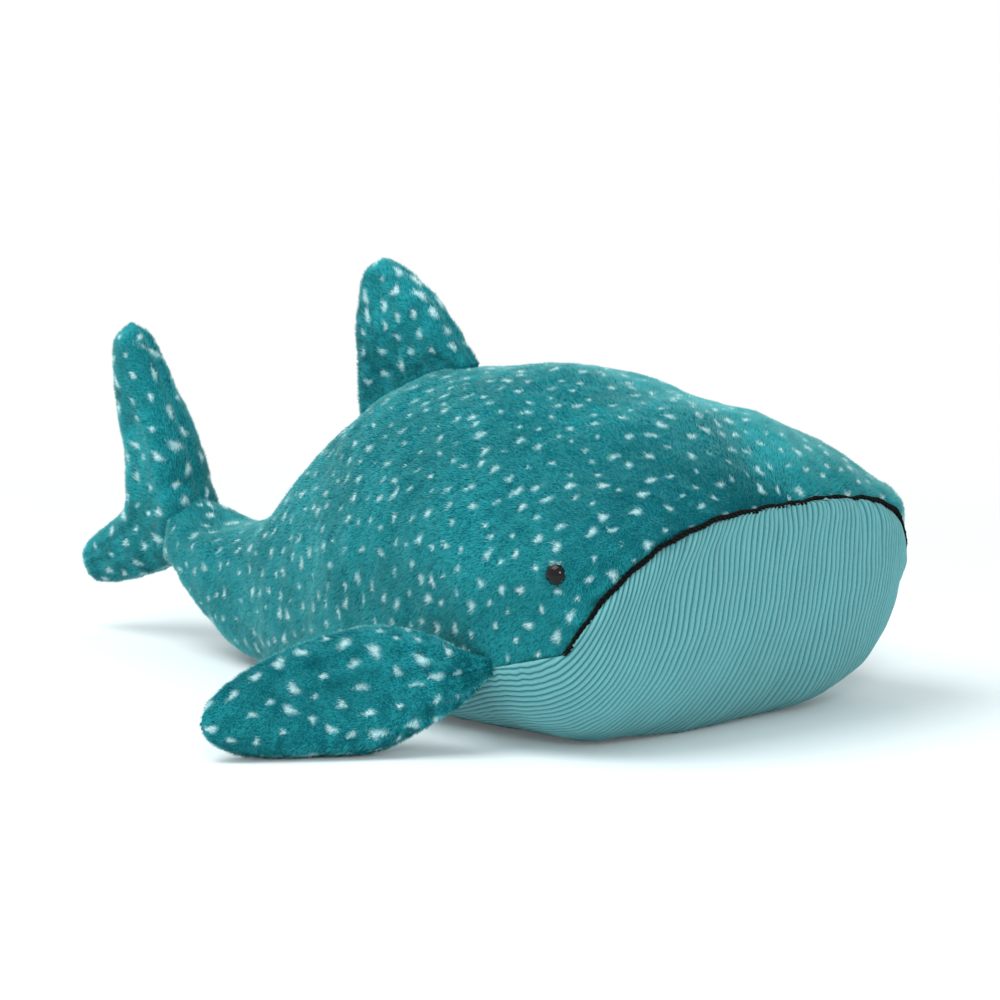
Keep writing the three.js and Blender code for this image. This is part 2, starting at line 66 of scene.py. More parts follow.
def linear(hex_colour):
    """A colour written as sRGB hex, in linear light."""
    parts = [int(hex_colour[i : i + 2], 16) / 255 for i in (1, 3, 5)]
    return tuple(c / 12.92 if c <= 0.04045 else ((c + 0.055) / 1.055) ** 2.4 for c in parts)


# The body's sections, from the end of the stalk to the head, in millimetres
STATION_X = (-184, -169, -135, -91, -32, 36, 114, 182)
HALF_WIDTH = (27, 28, 36, 50, 73, 103, 125, 137)
TOP = (92, 86, 74, 83, 141, 173, 179, 166.5)
BOTTOM = (48, 45.5, 22, 1, -4, -3, -3, -4)
WIDEST = (71, 68, 63, 61, 66, 79, 92, 90.5)
HEAD_X = STATION_X[-1]
NOSE_X = 260.0
NOSE_HEIGHT = 119.4
HEAD_MIDDLE = (130, 0, 85)
NOSE_BLUNTNESS = {"half": 3.53, "top": 1.49, "bottom": 2.42, "widest": 2.0}
BACK_ROUNDNESS = 1.71
BELLY_ROUNDNESS = 3.5
STALK_SEAM_TOP = (-166, 87)
STALK_SEAM_BOTTOM = (-182, 47.5)
STALK_PINCH_START = -150
STALK_BLUNTNESS = 3.5

# Where plush meets corduroy: seen from the side, and under the belly as a half width
SIDE_SEAM_X = (-230, 60, 120, 176, 222.5)
SIDE_SEAM_Z = (24, 24, 31, 43, 54.4)
LIP_SAG = 3.2
BELLY_X = (-128, -105, -50, 20, 75, 110)
BELLY_HALF = (0, 14, 46, 84, 112, 160)

# How the corduroy's ribs fan out over the front of the head, fitted to their directions in the photograph:
# where it starts along the body, its end as a share of the way to the nose, how far the ribs lean next to
# the mouth, and the widest rib in pitches
RIB_FAN_START = 90
RIB_FAN_END = 0.78
RIB_LEAN = 0.3
WIDEST_RIB = 2.3
RIB_FAN = {"round": (-214.2, 324.2, -127.9), "round_cubed": (44.5, -117.6, 80.0),
           "out": (-95.1, 348.5, -251.3), "out_cubed": (-48.5, 230.8, -226.2)}

# The small folds under the mouth seam: the middle of each across the ribs, its half width and its depth
MOUTH_FOLDS = ((45, 1.8, 2.2), (57, 1.5, 1.4), (-24, 1.5, 0.8), (-62, 1.4, 0.8), (21, 1.5, 0.9))

# How far the plush's ground lies under the outline, so that the pile reaches it, on the body and the fins
BODY_PILE_ROOM = 1.4
FIN_PILE_ROOM = 1.2

# The spots: where the edge lies in radii, the most places tried, and the ranges of the gap, the radius and
# the stretch as shares of the usual ones
SPOT_REACH = 1.2
SPOT_DRAWS = 9000
SPOT_GAPS = (0.85, 1.5)
SPOT_RADII = (0.55, 1.3)
SPOT_STRETCHES = (0.8, 1.35)

# The most locks of pile in one mesh
LOCKS_IN_MESH = 190000

# The pile. Clumps are waves of two sizes. A lock strays to the side and in its lean by its clump, more
# where it is ruffled, and by chance. Raised pile leans less and is longer. Its length varies with its clump
# and by chance. Its shading follows the skin, itself and chance
PILE = {
    "clump": (10, 3.2), "small_clump": 0.6,
    "stray": 0.26, "ruffled_stray": 0.5, "chance_stray": 0.42,
    "lean": 0.1, "ruffled_lean": 0.3, "chance_lean": 0.16, "raised_lean": 0.7,
    "length": 0.08, "chance_length": 0.12, "raised_length": 0.25,
    "root_sunk": 0.2, "floor": 0.15, "spot_edge": 0.85, "chance_spot": 0.35,
    "tone": 0.13, "chance_tone": 0.2, "shade_skin": 0.9, "shade_lock": 0.35, "chance_shade": 0.08,
}

# The mouth cord: the length of one turn of its twist, and the offset and radius of its strands in radii
CORD_TWIST = 6
CORD_STRANDS = 2
STRAND_OFFSET = 0.45
STRAND_RADIUS = 0.62

# The eyes. The skin stands prouder round each, within a reach
EYE = {"x": 220.5, "height": 94.0, "rise": 4.4, "sunk": 1.2, "stem": 2.4, "stem_length": 9.0,
       "proud": 1.0, "reach": 10}

# The fins: the gap at the root seam, how round the edges are in half thicknesses, and each fin's outline as
# points of its front and back edge, x and height, from root to tip or from the lower tip to the upper. None
# stands for a point on the ridge of the back or on the stalk's seam. half is half the thickness
HINGE_GAP = 0.85
FIN_ROUND = 1.35
DORSAL = {
    "front": ((47, None), (33.5, 189), (19, 205), (5, 215.5), (-7, 223), (-16, 227.2)),
    "back": ((-36, None), (-36.8, 162), (-37, 184), (-36, 203), (-33, 218), (-26, 225.6)),
    "half": (8.5, 12, 12.5, 11.5, 9, 4.5),
    "base_fade": 6,
}
TAIL_FIN = {
    "front": ((-255, 30), (-241, 28), (-213, 34), None, None, (-174, 114), (-191, 147),
              (-206, 172.5), (-214, 180)),
    "back": ((-261.5, 40), (-254, 51), (-237, 63), (-220, 76), (-218.5, 97), (-223.5, 124), (-228.5, 150),
             (-229.5, 169), (-222, 179)),
    "half": (2, 10, 12.5, 12.5, 13.5, 13.5, 12.5, 10, 2),
    "front_half": (2, 10, 13, 16, 22, 19, 16.5, 12, 2),
    "root": (3, 4),
    "sunk": 12,
}
# A pectoral fin's outline goes by its distance out from the root: the heights of its upper and lower edge
# and how far the upper one lies behind
PECTORAL_ROOT = {"x": 176, "height": 44, "chord": 14}
PECTORAL_SWEEP = 39
PECTORAL = {
    "along": (14, 32, 55, 80, 104, 125, 137, 141.5),
    "high": (55, 61, 62, 56.5, 49, 39.5, 31, 24.5),
    "low": (23.5, 12.5, 2.5, 0.6, 0.6, 3, 8.5, 13.5),
    "lean": (3, 15, 25, 27, 22, 13, 6, 2),
    "half": (6.5, 11.5, 13.5, 14, 13, 10, 6, 1.5),
}


# The stage: the photograph's camera and the lamps, as name, place, watts and width. Lengths in metres,
# angles in degrees, lens and sensor in millimetres
CAMERA = {"target": (0.05862, 0.00551, 0.10256), "azimuth": 41.98, "elevation": 7.677,
          "distance": 2.43274, "lens": 164.62, "sensor": 36}
LAMPS = (
    ("lamp_above", (-0.3, -1.1, 2.0), 36, 1.6),
    ("lamp_beside", (2.2, 0.9, 1.1), 4, 1.4),
    ("lamp_front", (1.7, -1.6, 1.0), 13, 0.45),
)
LAMP_AIM = (0.05, 0, 0.1)


class PlushSizes(bpy.types.PropertyGroup):
    """The sizes that set how the cloth, the pile and the trimmings look."""

    pile_length: FloatProperty(name="Pile length", description="Length of a fibre of the plush",
                               default=0.0020, min=0.001, max=0.01, unit="LENGTH")
    pile_width: FloatProperty(name="Fibre width", description="Width of a lock of fibres at its root",
                              default=0.00042, min=0.0001, max=0.002, unit="LENGTH")
    pile_lean: FloatProperty(name="Pile lean", description="How far the pile leans from upright",
                             default=math.radians(44), subtype="ANGLE")
    pile_density: FloatProperty(name="Pile density", description="Locks of fibres in each square millimetre",
                                default=4.0, min=0.1, max=8)
    spot_spacing: FloatProperty(name="Spot spacing", description="Least distance between two spots",
                                default=0.0104, unit="LENGTH")
    spot_radius: FloatProperty(name="Spot radius", description="Usual radius of a spot on the back",
                               default=0.0020, unit="LENGTH")
    rib_pitch: FloatProperty(name="Rib pitch", description="Distance from one rib of corduroy to the next",
                             default=0.0028, unit="LENGTH")
    rib_height: FloatProperty(name="Rib height", description="Height of a rib over the ground of the cloth",
                              default=0.0010, unit="LENGTH")
    seam_depth: FloatProperty(name="Seam depth", description="How far a seam draws the cloth in",
                              default=0.0020, unit="LENGTH")
    cord_radius: FloatProperty(name="Cord radius", description="Radius of the mouth cord over its strands",
                               default=0.00155, unit="LENGTH")
    eye_radius: FloatProperty(name="Eye radius", description="Radius of an eye",
                              default=0.006, unit="LENGTH")
    seed: IntProperty(name="Seed", description="Starts every random choice", default=11, min=0)


class PlushColours(bpy.types.PropertyGroup):
    """The colours of the toy and of its stage."""

    pile_tip: FloatVectorProperty(name="Pile tips", description="Colour of the ends of the pile",
                                  subtype="COLOR", size=3, default=linear("#2fa7ac"))
    # the roots' colour is painted shade: darker where the locks shade one another deep in the pile
    pile_root_shade: FloatVectorProperty(name="Pile roots", description="Colour deep in the pile",
                                   subtype="COLOR", size=3, default=linear("#0a6c76"))
    spot: FloatVectorProperty(name="Spots", description="Colour of the pale spots",
                              subtype="COLOR", size=3, default=linear("#c8e4e6"))
    rib: FloatVectorProperty(name="Ribs", description="Colour of the corduroy's ribs",
                             subtype="COLOR", size=3, default=linear("#6aaaad"))
    # the grooves' colour is darker partly for their thinner pile and partly as painted shade
    groove: FloatVectorProperty(name="Grooves", description="Colour between the corduroy's ribs",
                                subtype="COLOR", size=3, default=linear("#266a71"))
    cord: FloatVectorProperty(name="Cord", description="Colour of the mouth cord",
                              subtype="COLOR", size=3, default=linear("#08090b"))
    eye: FloatVectorProperty(name="Eye", description="Colour of the eyes",
                             subtype="COLOR", size=3, default=linear("#08080a"))
    floor: FloatVectorProperty(name="Floor", description="Colour of the floor",
                               subtype="COLOR", size=3, default=linear("#eef6f8"))


def sizes():
    """The sizes in use, in metres."""
    return bpy.context.scene.plush_sizes


def colours():
    """The colours in use, in linear light."""
    return bpy.context.scene.plush_colours


# Curves and noise


def eased(share):
    """A share from 0 to 1 that starts and ends level."""
    return share * share * (3 - 2 * share)


def smooth_through(places, values):
    """A curve through values at places that never overshoots: cubic pieces whose slope at each place is
    the harmonic mean of the rises before and after it, and level where these differ in sign."""
    places, values = np.asarray(places, float), np.asarray(values, float)
    rise = np.diff(values) / np.diff(places)
    before, after = rise[:-1], rise[1:]
    total = np.where(before * after > 0, before + after, 1)
    slope = np.r_[0, np.where(before * after > 0, 2 * before * after / total, 0), 0]

    def curve(x):
        at = np.clip(x, places[0], places[-1])
        i = np.clip(np.searchsorted(places, at, "right") - 1, 0, len(places) - 2)
        run = places[i + 1] - places[i]
        t = (at - places[i]) / run
        start = values[i] + eased(t) * (values[i + 1] - values[i])
        return start + run * (t * (1 - t) ** 2 * slope[i] - t * t * (1 - t) * slope[i + 1])

    return curve


def spline_through(points):
    """A centripetal Catmull-Rom spline through points, as a function of a share from 0 to 1: each span is
    a cubic whose end slopes weigh the chords beside it by the square root of their lengths."""
    points = np.asarray(points, float)
    ends = [2 * points[0] - points[1], 2 * points[-1] - points[-2]]
    padded = np.vstack([ends[:1], points, ends[1:]])
    step = np.maximum(np.linalg.norm(np.diff(padded, axis=0), axis=1) ** 0.5, 1e-4)

    def curve(share):
        place = np.asarray(share, float) * (len(points) - 1)
        i = np.clip(place.astype(int), 0, len(points) - 2)
        t = (place - i)[..., None]
        a, b, c, d = (padded[i + k] for k in range(4))
        p, q, r = (step[i + k][..., None] for k in range(3))
        leave = q * ((b - a) / p - (c - a) / (p + q) + (c - b) / q)
        reach = q * ((c - b) / q - (d - b) / (q + r) + (d - c) / r)
        square = 3 * (c - b) - 2 * leave - reach
        cube = 2 * (b - c) + leave + reach
        return b + t * (leave + t * (square + t * cube))

    return curve


def ripple(points, size, seed, waves=14):
    """Smooth noise of about unit height: a sum of sine waves in random directions, each with a length
    of 0.6 to 1.6 times size."""
    rng = np.random.default_rng(seed)
    way = rng.normal(size=(waves, 3))
    way *= (2 * math.pi / (size * rng.uniform(0.6, 1.6, waves)) / np.linalg.norm(way, axis=1))[:, None]
    phase = rng.uniform(0, 2 * math.pi, waves)
    return np.sin(points @ way.T + phase).sum(-1) * math.sqrt(2 / waves)


def unit(vectors):
    """Vectors at a length of 1."""
    return vectors / np.maximum(np.linalg.norm(vectors, axis=-1, keepdims=True), 1e-12)


# Body sections

HALF_AT = smooth_through(STATION_X, HALF_WIDTH)
TOP_AT = smooth_through(STATION_X, TOP)
BOTTOM_AT = smooth_through(STATION_X, BOTTOM)
WIDEST_AT = smooth_through(STATION_X, WIDEST)


def close_to_nose(value, x, key):
    """A value of the last station carried to the nose along a quarter superellipse."""
    goal = 0 if key == "half" else NOSE_HEIGHT
    reach = np.clip((x - HEAD_X) / (NOSE_X - HEAD_X), 0, 1)
    power = NOSE_BLUNTNESS[key]
    return goal + (value - goal) * (1 - reach**power) ** (1 / power)


def body_rows(x_top, x_bottom=None):
    """The body's rows: for each, where its top and underside lie along the body, half its width and its
    heights. A row leans where its top and its underside lie apart."""
    x_bottom = x_top if x_bottom is None else x_bottom
    x = (x_top + x_bottom) / 2
    top = close_to_nose(TOP_AT(np.minimum(x_top, HEAD_X)), x, "top")
    bottom = close_to_nose(BOTTOM_AT(np.minimum(x_bottom, HEAD_X)), x, "bottom")
    widest = close_to_nose(WIDEST_AT(np.minimum(x, HEAD_X)), x, "widest")
    half = close_to_nose(HALF_AT(np.minimum(x, HEAD_X)), x, "half")
    return {
        "x_top": x_top,
        "x_bottom": x_bottom,
        "half": half,
        "top": top,
        "bottom": bottom,
        "widest": np.clip(widest, bottom, top),
    }


def join_rows(*parts):
    """Rows of several stretches of the body as one list."""
    return {key: np.concatenate([part[key] for part in parts]) for key in parts[0]}


def stalk_rows(count):
    """Rows that lean from the upright stalk to its slanted seam."""
    share = np.linspace(0, 1, count, endpoint=False) ** 1.6
    x_top = STALK_SEAM_TOP[0] + (STALK_PINCH_START - STALK_SEAM_TOP[0]) * share
    x_bottom = STALK_SEAM_BOTTOM[0] + (STALK_PINCH_START - STALK_SEAM_BOTTOM[0]) * share
    return body_rows(x_top, x_bottom)


def close_stalk(points, rows):
    """Draws the sides of the stalk in towards its seam: bluntly, as a superellipse closes, at the bottom,
    and slowly to the thickness of the tail fin at the top."""
    height = np.clip((points[..., 2] - rows["bottom"][:, None])
                     / np.maximum(rows["top"] - rows["bottom"], 1)[:, None], 0, 1)
    run = (STALK_PINCH_START - rows["x_bottom"]) / (STALK_PINCH_START - STALK_SEAM_BOTTOM[0])
    run = np.clip(run, 0, 1)[:, None]
    blunt = (1 - run**STALK_BLUNTNESS) ** (1 / STALK_BLUNTNESS)
    slow = 1 - 0.25 * eased(run)
    share = eased(np.clip((height - 0.3) / 0.45, 0, 1))
    whole = np.ones(points.shape[:2])
    return points * np.stack([whole, blunt + (slow - blunt) * share, whole], -1)


def head_x(count):
    """Places from the last station to the nose, closer together towards the nose where the skin turns."""
    return NOSE_X - (NOSE_X - HEAD_X) * np.linspace(1, 0.004, count) ** 2.6


def section_point(rows, angle):
    """Points of the left half of each row at angles from the keel, -90, to the ridge, 90 degrees: a
    superellipse of one roundness above its widest height and another below, cut flat at the floor."""
    across, up = np.cos(angle), np.sin(angle)
    column = {key: value[:, None] for key, value in rows.items()}
    power = np.where(up > 0, BACK_ROUNDNESS, BELLY_ROUNDNESS)
    radius = (np.abs(across) ** power + np.abs(up) ** power) ** (1 / power)
    rise = np.where(up > 0, column["top"] - column["widest"], column["widest"] - column["bottom"])
    z = column["widest"] + rise * up / radius
    y = column["half"] * across / radius
    height = np.maximum(column["top"] - column["bottom"], 1e-6)
    x = column["x_bottom"] + (column["x_top"] - column["x_bottom"]) * (z - column["bottom"]) / height
    return np.stack([np.broadcast_to(x, y.shape), y, np.maximum(z, 0)], -1)


def run_along(points):
    """The distance along each row of points from its first to each of them."""
    step = np.linalg.norm(np.diff(points, axis=1), axis=-1)
    return np.hstack([np.zeros((len(step), 1)), np.cumsum(step, 1)])


def girth(rows, samples=321):
    """Angles, and for each row the distance round it from the keel to each angle, with the points there."""
    angle = np.linspace(-math.pi / 2, math.pi / 2, samples)
    points = section_point(rows, angle[None, :])
    return angle, run_along(points), points


def angle_at(angle, distance, wanted):
    """The angle at which each row has gone the wanted distance round."""
    return np.array([np.interp(w, d, angle) for w, d in zip(wanted, distance)])


def lip_height(x):
    """Height of the mouth seam: straight from the corner to the nose, with a slight sag."""
    share = np.clip((x - SIDE_SEAM_X[-1]) / (NOSE_X - SIDE_SEAM_X[-1]), 0, 1)
    return SIDE_SEAM_Z[-1] + (NOSE_HEIGHT - SIDE_SEAM_Z[-1]) * share - 4 * LIP_SAG * share * (1 - share)


def seam_height(x):
    """Height of the seam between plush and corduroy, seen from the side."""
    return np.where(x < SIDE_SEAM_X[-1], np.interp(x, SIDE_SEAM_X, SIDE_SEAM_Z), lip_height(x))


def seam_distance(rows):
    """How far round each row the corduroy reaches: while it lies inside the belly's plan and under the
    side seam."""
    _, distance, points = girth(rows)
    x = rows["x_bottom"][:, None]
    plan = np.interp(x, BELLY_X, BELLY_HALF, left=-1)
    inside = np.minimum(plan - points[..., 1], seam_height(x) - points[..., 2])
    first = np.argmax(inside < 0, axis=1)
    row = np.arange(len(first))
    before, after = inside[row, first - 1], inside[row, first]
    share = before / np.where(before == after, 1, before - after)
    place = distance[row, first - 1] + (distance[row, first] - distance[row, first - 1]) * share
    return np.where(first == 0, 0, place)


def grid_normals(points, outwards):
    """Unit normals of a grid of points, turned to the side that outwards points to on average."""
    along, across = np.gradient(points, axis=0), np.gradient(points, axis=1)
    normal = unit(np.cross(along, across))
    return normal if (normal * outwards).sum() > 0 else -normal


def mirror_y(points):
    """Points on the other side of the middle plane."""
    return points * np.array([1, -1, 1])


def from_axis(points, height):
    """Directions to points from a level line along the body."""
    return (points - np.array([0, 0, height])) * np.array([0, 1, 1])


# Meshes


def new_mesh(name, points, faces, attributes=None, uv=None):
    """An object of points in millimetres and an array of faces, with values at the points, and a place
    on the cloth in metres for each. Points that lie together are joined, and faces with no width go."""
    mesh = bpy.data.meshes.new(name)
    mesh.from_pydata(points.reshape(-1, 3) * METRES, [], faces)
    for key, values in (attributes or {}).items():
        layer = mesh.attributes.new(key, "FLOAT", "POINT")
        layer.data.foreach_set("value", np.ascontiguousarray(values, np.float32).ravel())
    if uv is not None:
        layer = mesh.uv_layers.new(name="cloth")
        corners = np.empty(len(mesh.loops), np.int32)
        mesh.loops.foreach_get("vertex_index", corners)
        layer.data.foreach_set("uv", (uv.reshape(-1, 2)[corners] * METRES).astype(np.float32).ravel())
    built = bmesh.new()
    built.from_mesh(mesh)
    bmesh.ops.remove_doubles(built, verts=built.verts, dist=2e-5)
    bmesh.ops.dissolve_degenerate(built, dist=1e-6, edges=built.edges)
    built.to_mesh(mesh)
    built.free()
    mesh.shade_smooth()
    made = bpy.data.objects.new(name, mesh)
    bpy.context.scene.collection.objects.link(made)
    return made


def grid_faces(rows, columns, wrap=False, flip=False):
    """Quads between neighbouring rows and columns of a grid, round to the first column with wrap."""
    row = np.arange(rows - 1)[:, None] * columns
    here = np.arange(columns if wrap else columns - 1)[None, :]
    there = (here + 1) % columns
    quads = np.stack([row + here, row + there, row + columns + there, row + columns + here], -1)
    quads = quads.reshape(-1, 4)
    return quads[:, ::-1] if flip else quads


def faces_outwards(points, faces, normals):
    """The faces in the order that makes them face the way that the normals point."""
    corner = points.reshape(-1, 3)[faces[:, :3]]
    facing = np.cross(corner[:, 1] - corner[:, 0], corner[:, 2] - corner[:, 0])
    agree = (facing * normals.reshape(-1, 3)[faces[:, 0]]).sum()
    return faces if agree > 0 else faces[:, ::-1]


# Spots


class Spots:
    """Pale spots over a surface: their middles, the way they lie, their sizes and their ragged edges."""

    def __init__(self, points, normals, lay, weight, spacing, radius, stretch, seed):
        """Middles are drawn at random from the points, by the area that each stands for, and kept where
        they lie a spacing from the ones before."""
        rng = np.random.default_rng(seed)
        flat = [a.reshape(-1, 3) for a in (points, normals, lay)]
        chance = weight.ravel() / weight.sum()
        draws = min(SPOT_DRAWS, np.count_nonzero(chance))
        drawn = rng.choice(len(chance), size=draws, replace=False, p=chance)
        place = flat[0][drawn] + rng.normal(scale=0.5, size=(len(drawn), 3))
        wanted = spacing * rng.uniform(*SPOT_GAPS, len(drawn))
        kept = []
        for i, here in enumerate(place):
            if not kept or np.min(np.sum((place[kept] - here) ** 2, 1)) > wanted[i] ** 2:
                kept.append(i)
        self.middle = place[kept]
        self.normal = flat[1][drawn[kept]]
        self.lay = unit(flat[2][drawn[kept]] + rng.normal(scale=0.25, size=(len(kept), 3)))
        self.across = unit(np.cross(self.normal, self.lay))
        self.radius = radius * rng.uniform(*SPOT_RADII, len(kept))
        self.stretch = stretch * rng.uniform(*SPOT_STRETCHES, len(kept))
        self.phase = rng.uniform(0, 2 * math.pi, (len(kept), 2))

    def nearness(self, points):
        """For each point, its distance from the nearest spot's middle as a share of the spot's radius
        there: an ellipse along the lay whose edge waves two and three times round."""
        order = np.argsort(points[:, 0])
        sorted_x = points[order, 0]
        found = np.full(len(points), 4.0)
        for i, middle in enumerate(self.middle):
            far = 4 * self.radius[i] * self.stretch[i]
            low, high = np.searchsorted(sorted_x, (middle[0] - far, middle[0] + far))
            some = order[low:high]
            off = points[some] - middle
            a = off @ self.lay[i] / self.stretch[i]
            b = off @ self.across[i] * math.sqrt(self.stretch[i])
            c = off @ self.normal[i]
            turn = np.arctan2(b, a)
            edge = 1 + 0.2 * np.sin(2 * turn + self.phase[i, 0]) + 0.16 * np.sin(3 * turn + self.phase[i, 1])
            share = np.sqrt(a * a + b * b + c * c) / (self.radius[i] * edge)
            found[some] = np.minimum(found[some], share)
        return found

    def paleness(self, points):
        """How pale the ground of the cloth is at each point of a grid."""
        return np.clip((SPOT_REACH - self.nearness(points.reshape(-1, 3))) / 0.6, 0, 1)


# Pile


def scatter_on_grid(points, density, rng, keep):
    """Random places on a grid of points: cells drawn by their area, with shares along and across each.
    keep gives how much of the pile each point carries."""
    side = [points[:-1, :-1], points[1:, :-1], points[:-1, 1:]]
    area = np.linalg.norm(np.cross(side[1] - side[0], side[2] - side[0]), axis=-1) * keep[:-1, :-1]
    count = int(area.sum() * density)
    cell = np.sort(rng.choice(area.size, size=count, p=(area / area.sum()).ravel()))
    row, column = np.unravel_index(cell, area.shape)
    return row, column, rng.random(count), rng.random(count)


def between(grid, row, column, u, v):
    """Values of a grid at places inside its cells, mixed from the cell's four corners."""
    u, v = (u[:, None], v[:, None]) if grid.ndim == 3 else (u, v)
    low = grid[row, column] * (1 - v) + grid[row, column + 1] * v
    high = grid[row + 1, column] * (1 - v) + grid[row + 1, column + 1] * v
    return low * (1 - u) + high * u


def pile_on(name, skin, spots, material, seed, bind):
    """The pile of a skin as tapered locks of fibres, in as many meshes as keep each one light. Each lock is
    a triangle that stands on the skin and leans along the lay by the pile's angle. Leans wander in clumps
    of a few millimetres, and lengths vary. Shading follows the skin more than the lock, so that the pile
    looks soft."""
    size = sizes()
    rng = np.random.default_rng(size.seed + seed)
    points, normals, lay = skin["points"], skin["normals"], skin["lay"]
    whole = np.ones(points.shape[:2])
    row, column, u, v = scatter_on_grid(points, size.pile_density, rng, skin.get("keep", whole))
    root = between(points, row, column, u, v)
    up = unit(between(normals, row, column, u, v))
    along = between(lay, row, column, u, v)
    along = unit(along - up * (along * up).sum(1, keepdims=True))
    raised = between(skin.get("raised", 0 * whole), row, column, u, v)
    ruffled = between(skin.get("ruffled", 0 * whole), row, column, u, v)
    large, small = PILE["clump"]
    clump = np.stack([ripple(root, large, seed + k) + PILE["small_clump"] * ripple(root, small, seed + 5 + k)
                      for k in range(3)], -1)
    count = len(root)
    side = np.cross(up, along)
    stray = (PILE["stray"] + PILE["ruffled_stray"] * ruffled) * clump[:, 0]
    stray = stray + rng.normal(scale=PILE["chance_stray"], size=count)
    sweep = unit(along + side * stray[:, None])
    lean = size.pile_lean + (PILE["lean"] + PILE["ruffled_lean"] * ruffled) * clump[:, 1]
    lean = lean + rng.normal(scale=PILE["chance_lean"], size=count)
    lean = lean * (1 - PILE["raised_lean"] * raised)
    way = up * np.cos(lean)[:, None] + sweep * np.sin(lean)[:, None]
    varied = 1 + PILE["length"] * clump[:, 2] + rng.normal(scale=PILE["chance_length"], size=count)
    tall = size.pile_length / METRES * varied * (1 + PILE["raised_length"] * raised)
    turn = rng.uniform(-0.5, 0.5, count)[:, None]
    wide = unit(np.cross(way, up))
    wide = wide * np.cos(turn) + np.cross(way, wide) * np.sin(turn)
    half = size.pile_width / METRES / 2
    base = root - PILE["root_sunk"] * up
    tip = base + way * tall[:, None]
    tip[:, 2] = np.maximum(tip[:, 2], PILE["floor"])
    corners = np.stack([base - wide * half, base + wide * half, tip], 1)
    facing = np.cross(corners[:, 1] - corners[:, 0], corners[:, 2] - corners[:, 0])
    inwards = (facing * up).sum(1) < 0
    corners[inwards] = corners[inwards][:, [1, 0, 2]]
    facing[inwards] *= -1
    pale = (SPOT_REACH - spots.nearness(root)) / PILE["spot_edge"]
    pale = np.clip(pale + rng.normal(scale=PILE["chance_spot"], size=count), 0, 1)
    tone = 0.5 + PILE["tone"] * clump[:, 0] + rng.normal(scale=PILE["chance_tone"], size=count)
    tone = np.clip(tone, 0, 1)
    soft = up * PILE["shade_skin"] + unit(facing) * PILE["shade_lock"]
    soft = unit(soft + rng.normal(scale=PILE["chance_shade"], size=(count, 3)))
    parts = math.ceil(count / LOCKS_IN_MESH)
    for i, some in enumerate(np.array_split(np.arange(count), parts)):
        shares = {"height": (0.0, 0.0, 1.0) * len(some), "spot": np.repeat(pale[some], 3),
                  "tone": np.repeat(tone[some], 3)}
        label = name if parts == 1 else f"{name}_{i + 1}"
        made = triangles(label, corners[some], shares, soft[some])
        made.data.materials.append(material)
        bind(made)


def triangles(name, corners, attributes, normals):
    """A mesh of loose triangles in millimetres, with values at their corners, one normal each, and a UV map
    that gives each a cell of its own, for baking colours."""
    count = len(corners)
    mesh = bpy.data.meshes.new(name)
    mesh.from_pydata(corners.reshape(-1, 3) * METRES, [], np.arange(3 * count).reshape(-1, 3))
    for key, values in attributes.items():
        layer = mesh.attributes.new(key, "FLOAT", "POINT")
        layer.data.foreach_set("value", np.asarray(values, np.float32))
    side = math.ceil(math.sqrt(count))
    cell = np.stack([np.arange(count) % side, np.arange(count) // side], -1)[:, None, :]
    inside = np.array([(0.08, 0.08), (0.92, 0.08), (0.08, 0.92)])[None]
    layer = mesh.uv_layers.new(name="OFBake")
    layer.data.foreach_set("uv", ((cell + inside) / side).astype(np.float32).ravel())
    mesh.shade_smooth()
    mesh.normals_split_custom_set_from_vertices(np.repeat(normals, 3, 0).tolist())
    made = bpy.data.objects.new(name, mesh)
    bpy.context.scene.collection.objects.link(made)
    return made


# Materials


def add_node(tree, kind, inputs=None, **settings):
    """A node with its settings, and its inputs set to values or linked from sockets. Inputs go by name, or
    by number where names repeat: a colour Mix takes its share at 0 and its colours at 6 and 7."""
    node = tree.nodes.new(kind)
    for key, value in settings.items():
        setattr(node, key, value)
    for key, value in (inputs or {}).items():
        if isinstance(value, bpy.types.NodeSocket):
            tree.links.new(value, node.inputs[key])
        else:
            node.inputs[key].default_value = value
    return node


def start_material(name):
    """The material of a name, and its empty node tree if it is new."""
    material = bpy.data.materials.get(name)
    if material:
        return material, None
    material = bpy.data.materials.new(name)
    material.use_nodes = True
    material.node_tree.nodes.clear()
    return material, material.node_tree


def finish_material(tree, surface):
    """A Principled shader of the given inputs, on the material's output."""
    shader = add_node(tree, "ShaderNodeBsdfPrincipled", surface)
    add_node(tree, "ShaderNodeOutputMaterial", {"Surface": shader.outputs[0]})


def rgba(colour):
    """A colour with full opacity."""
    return (*colour, 1.0)


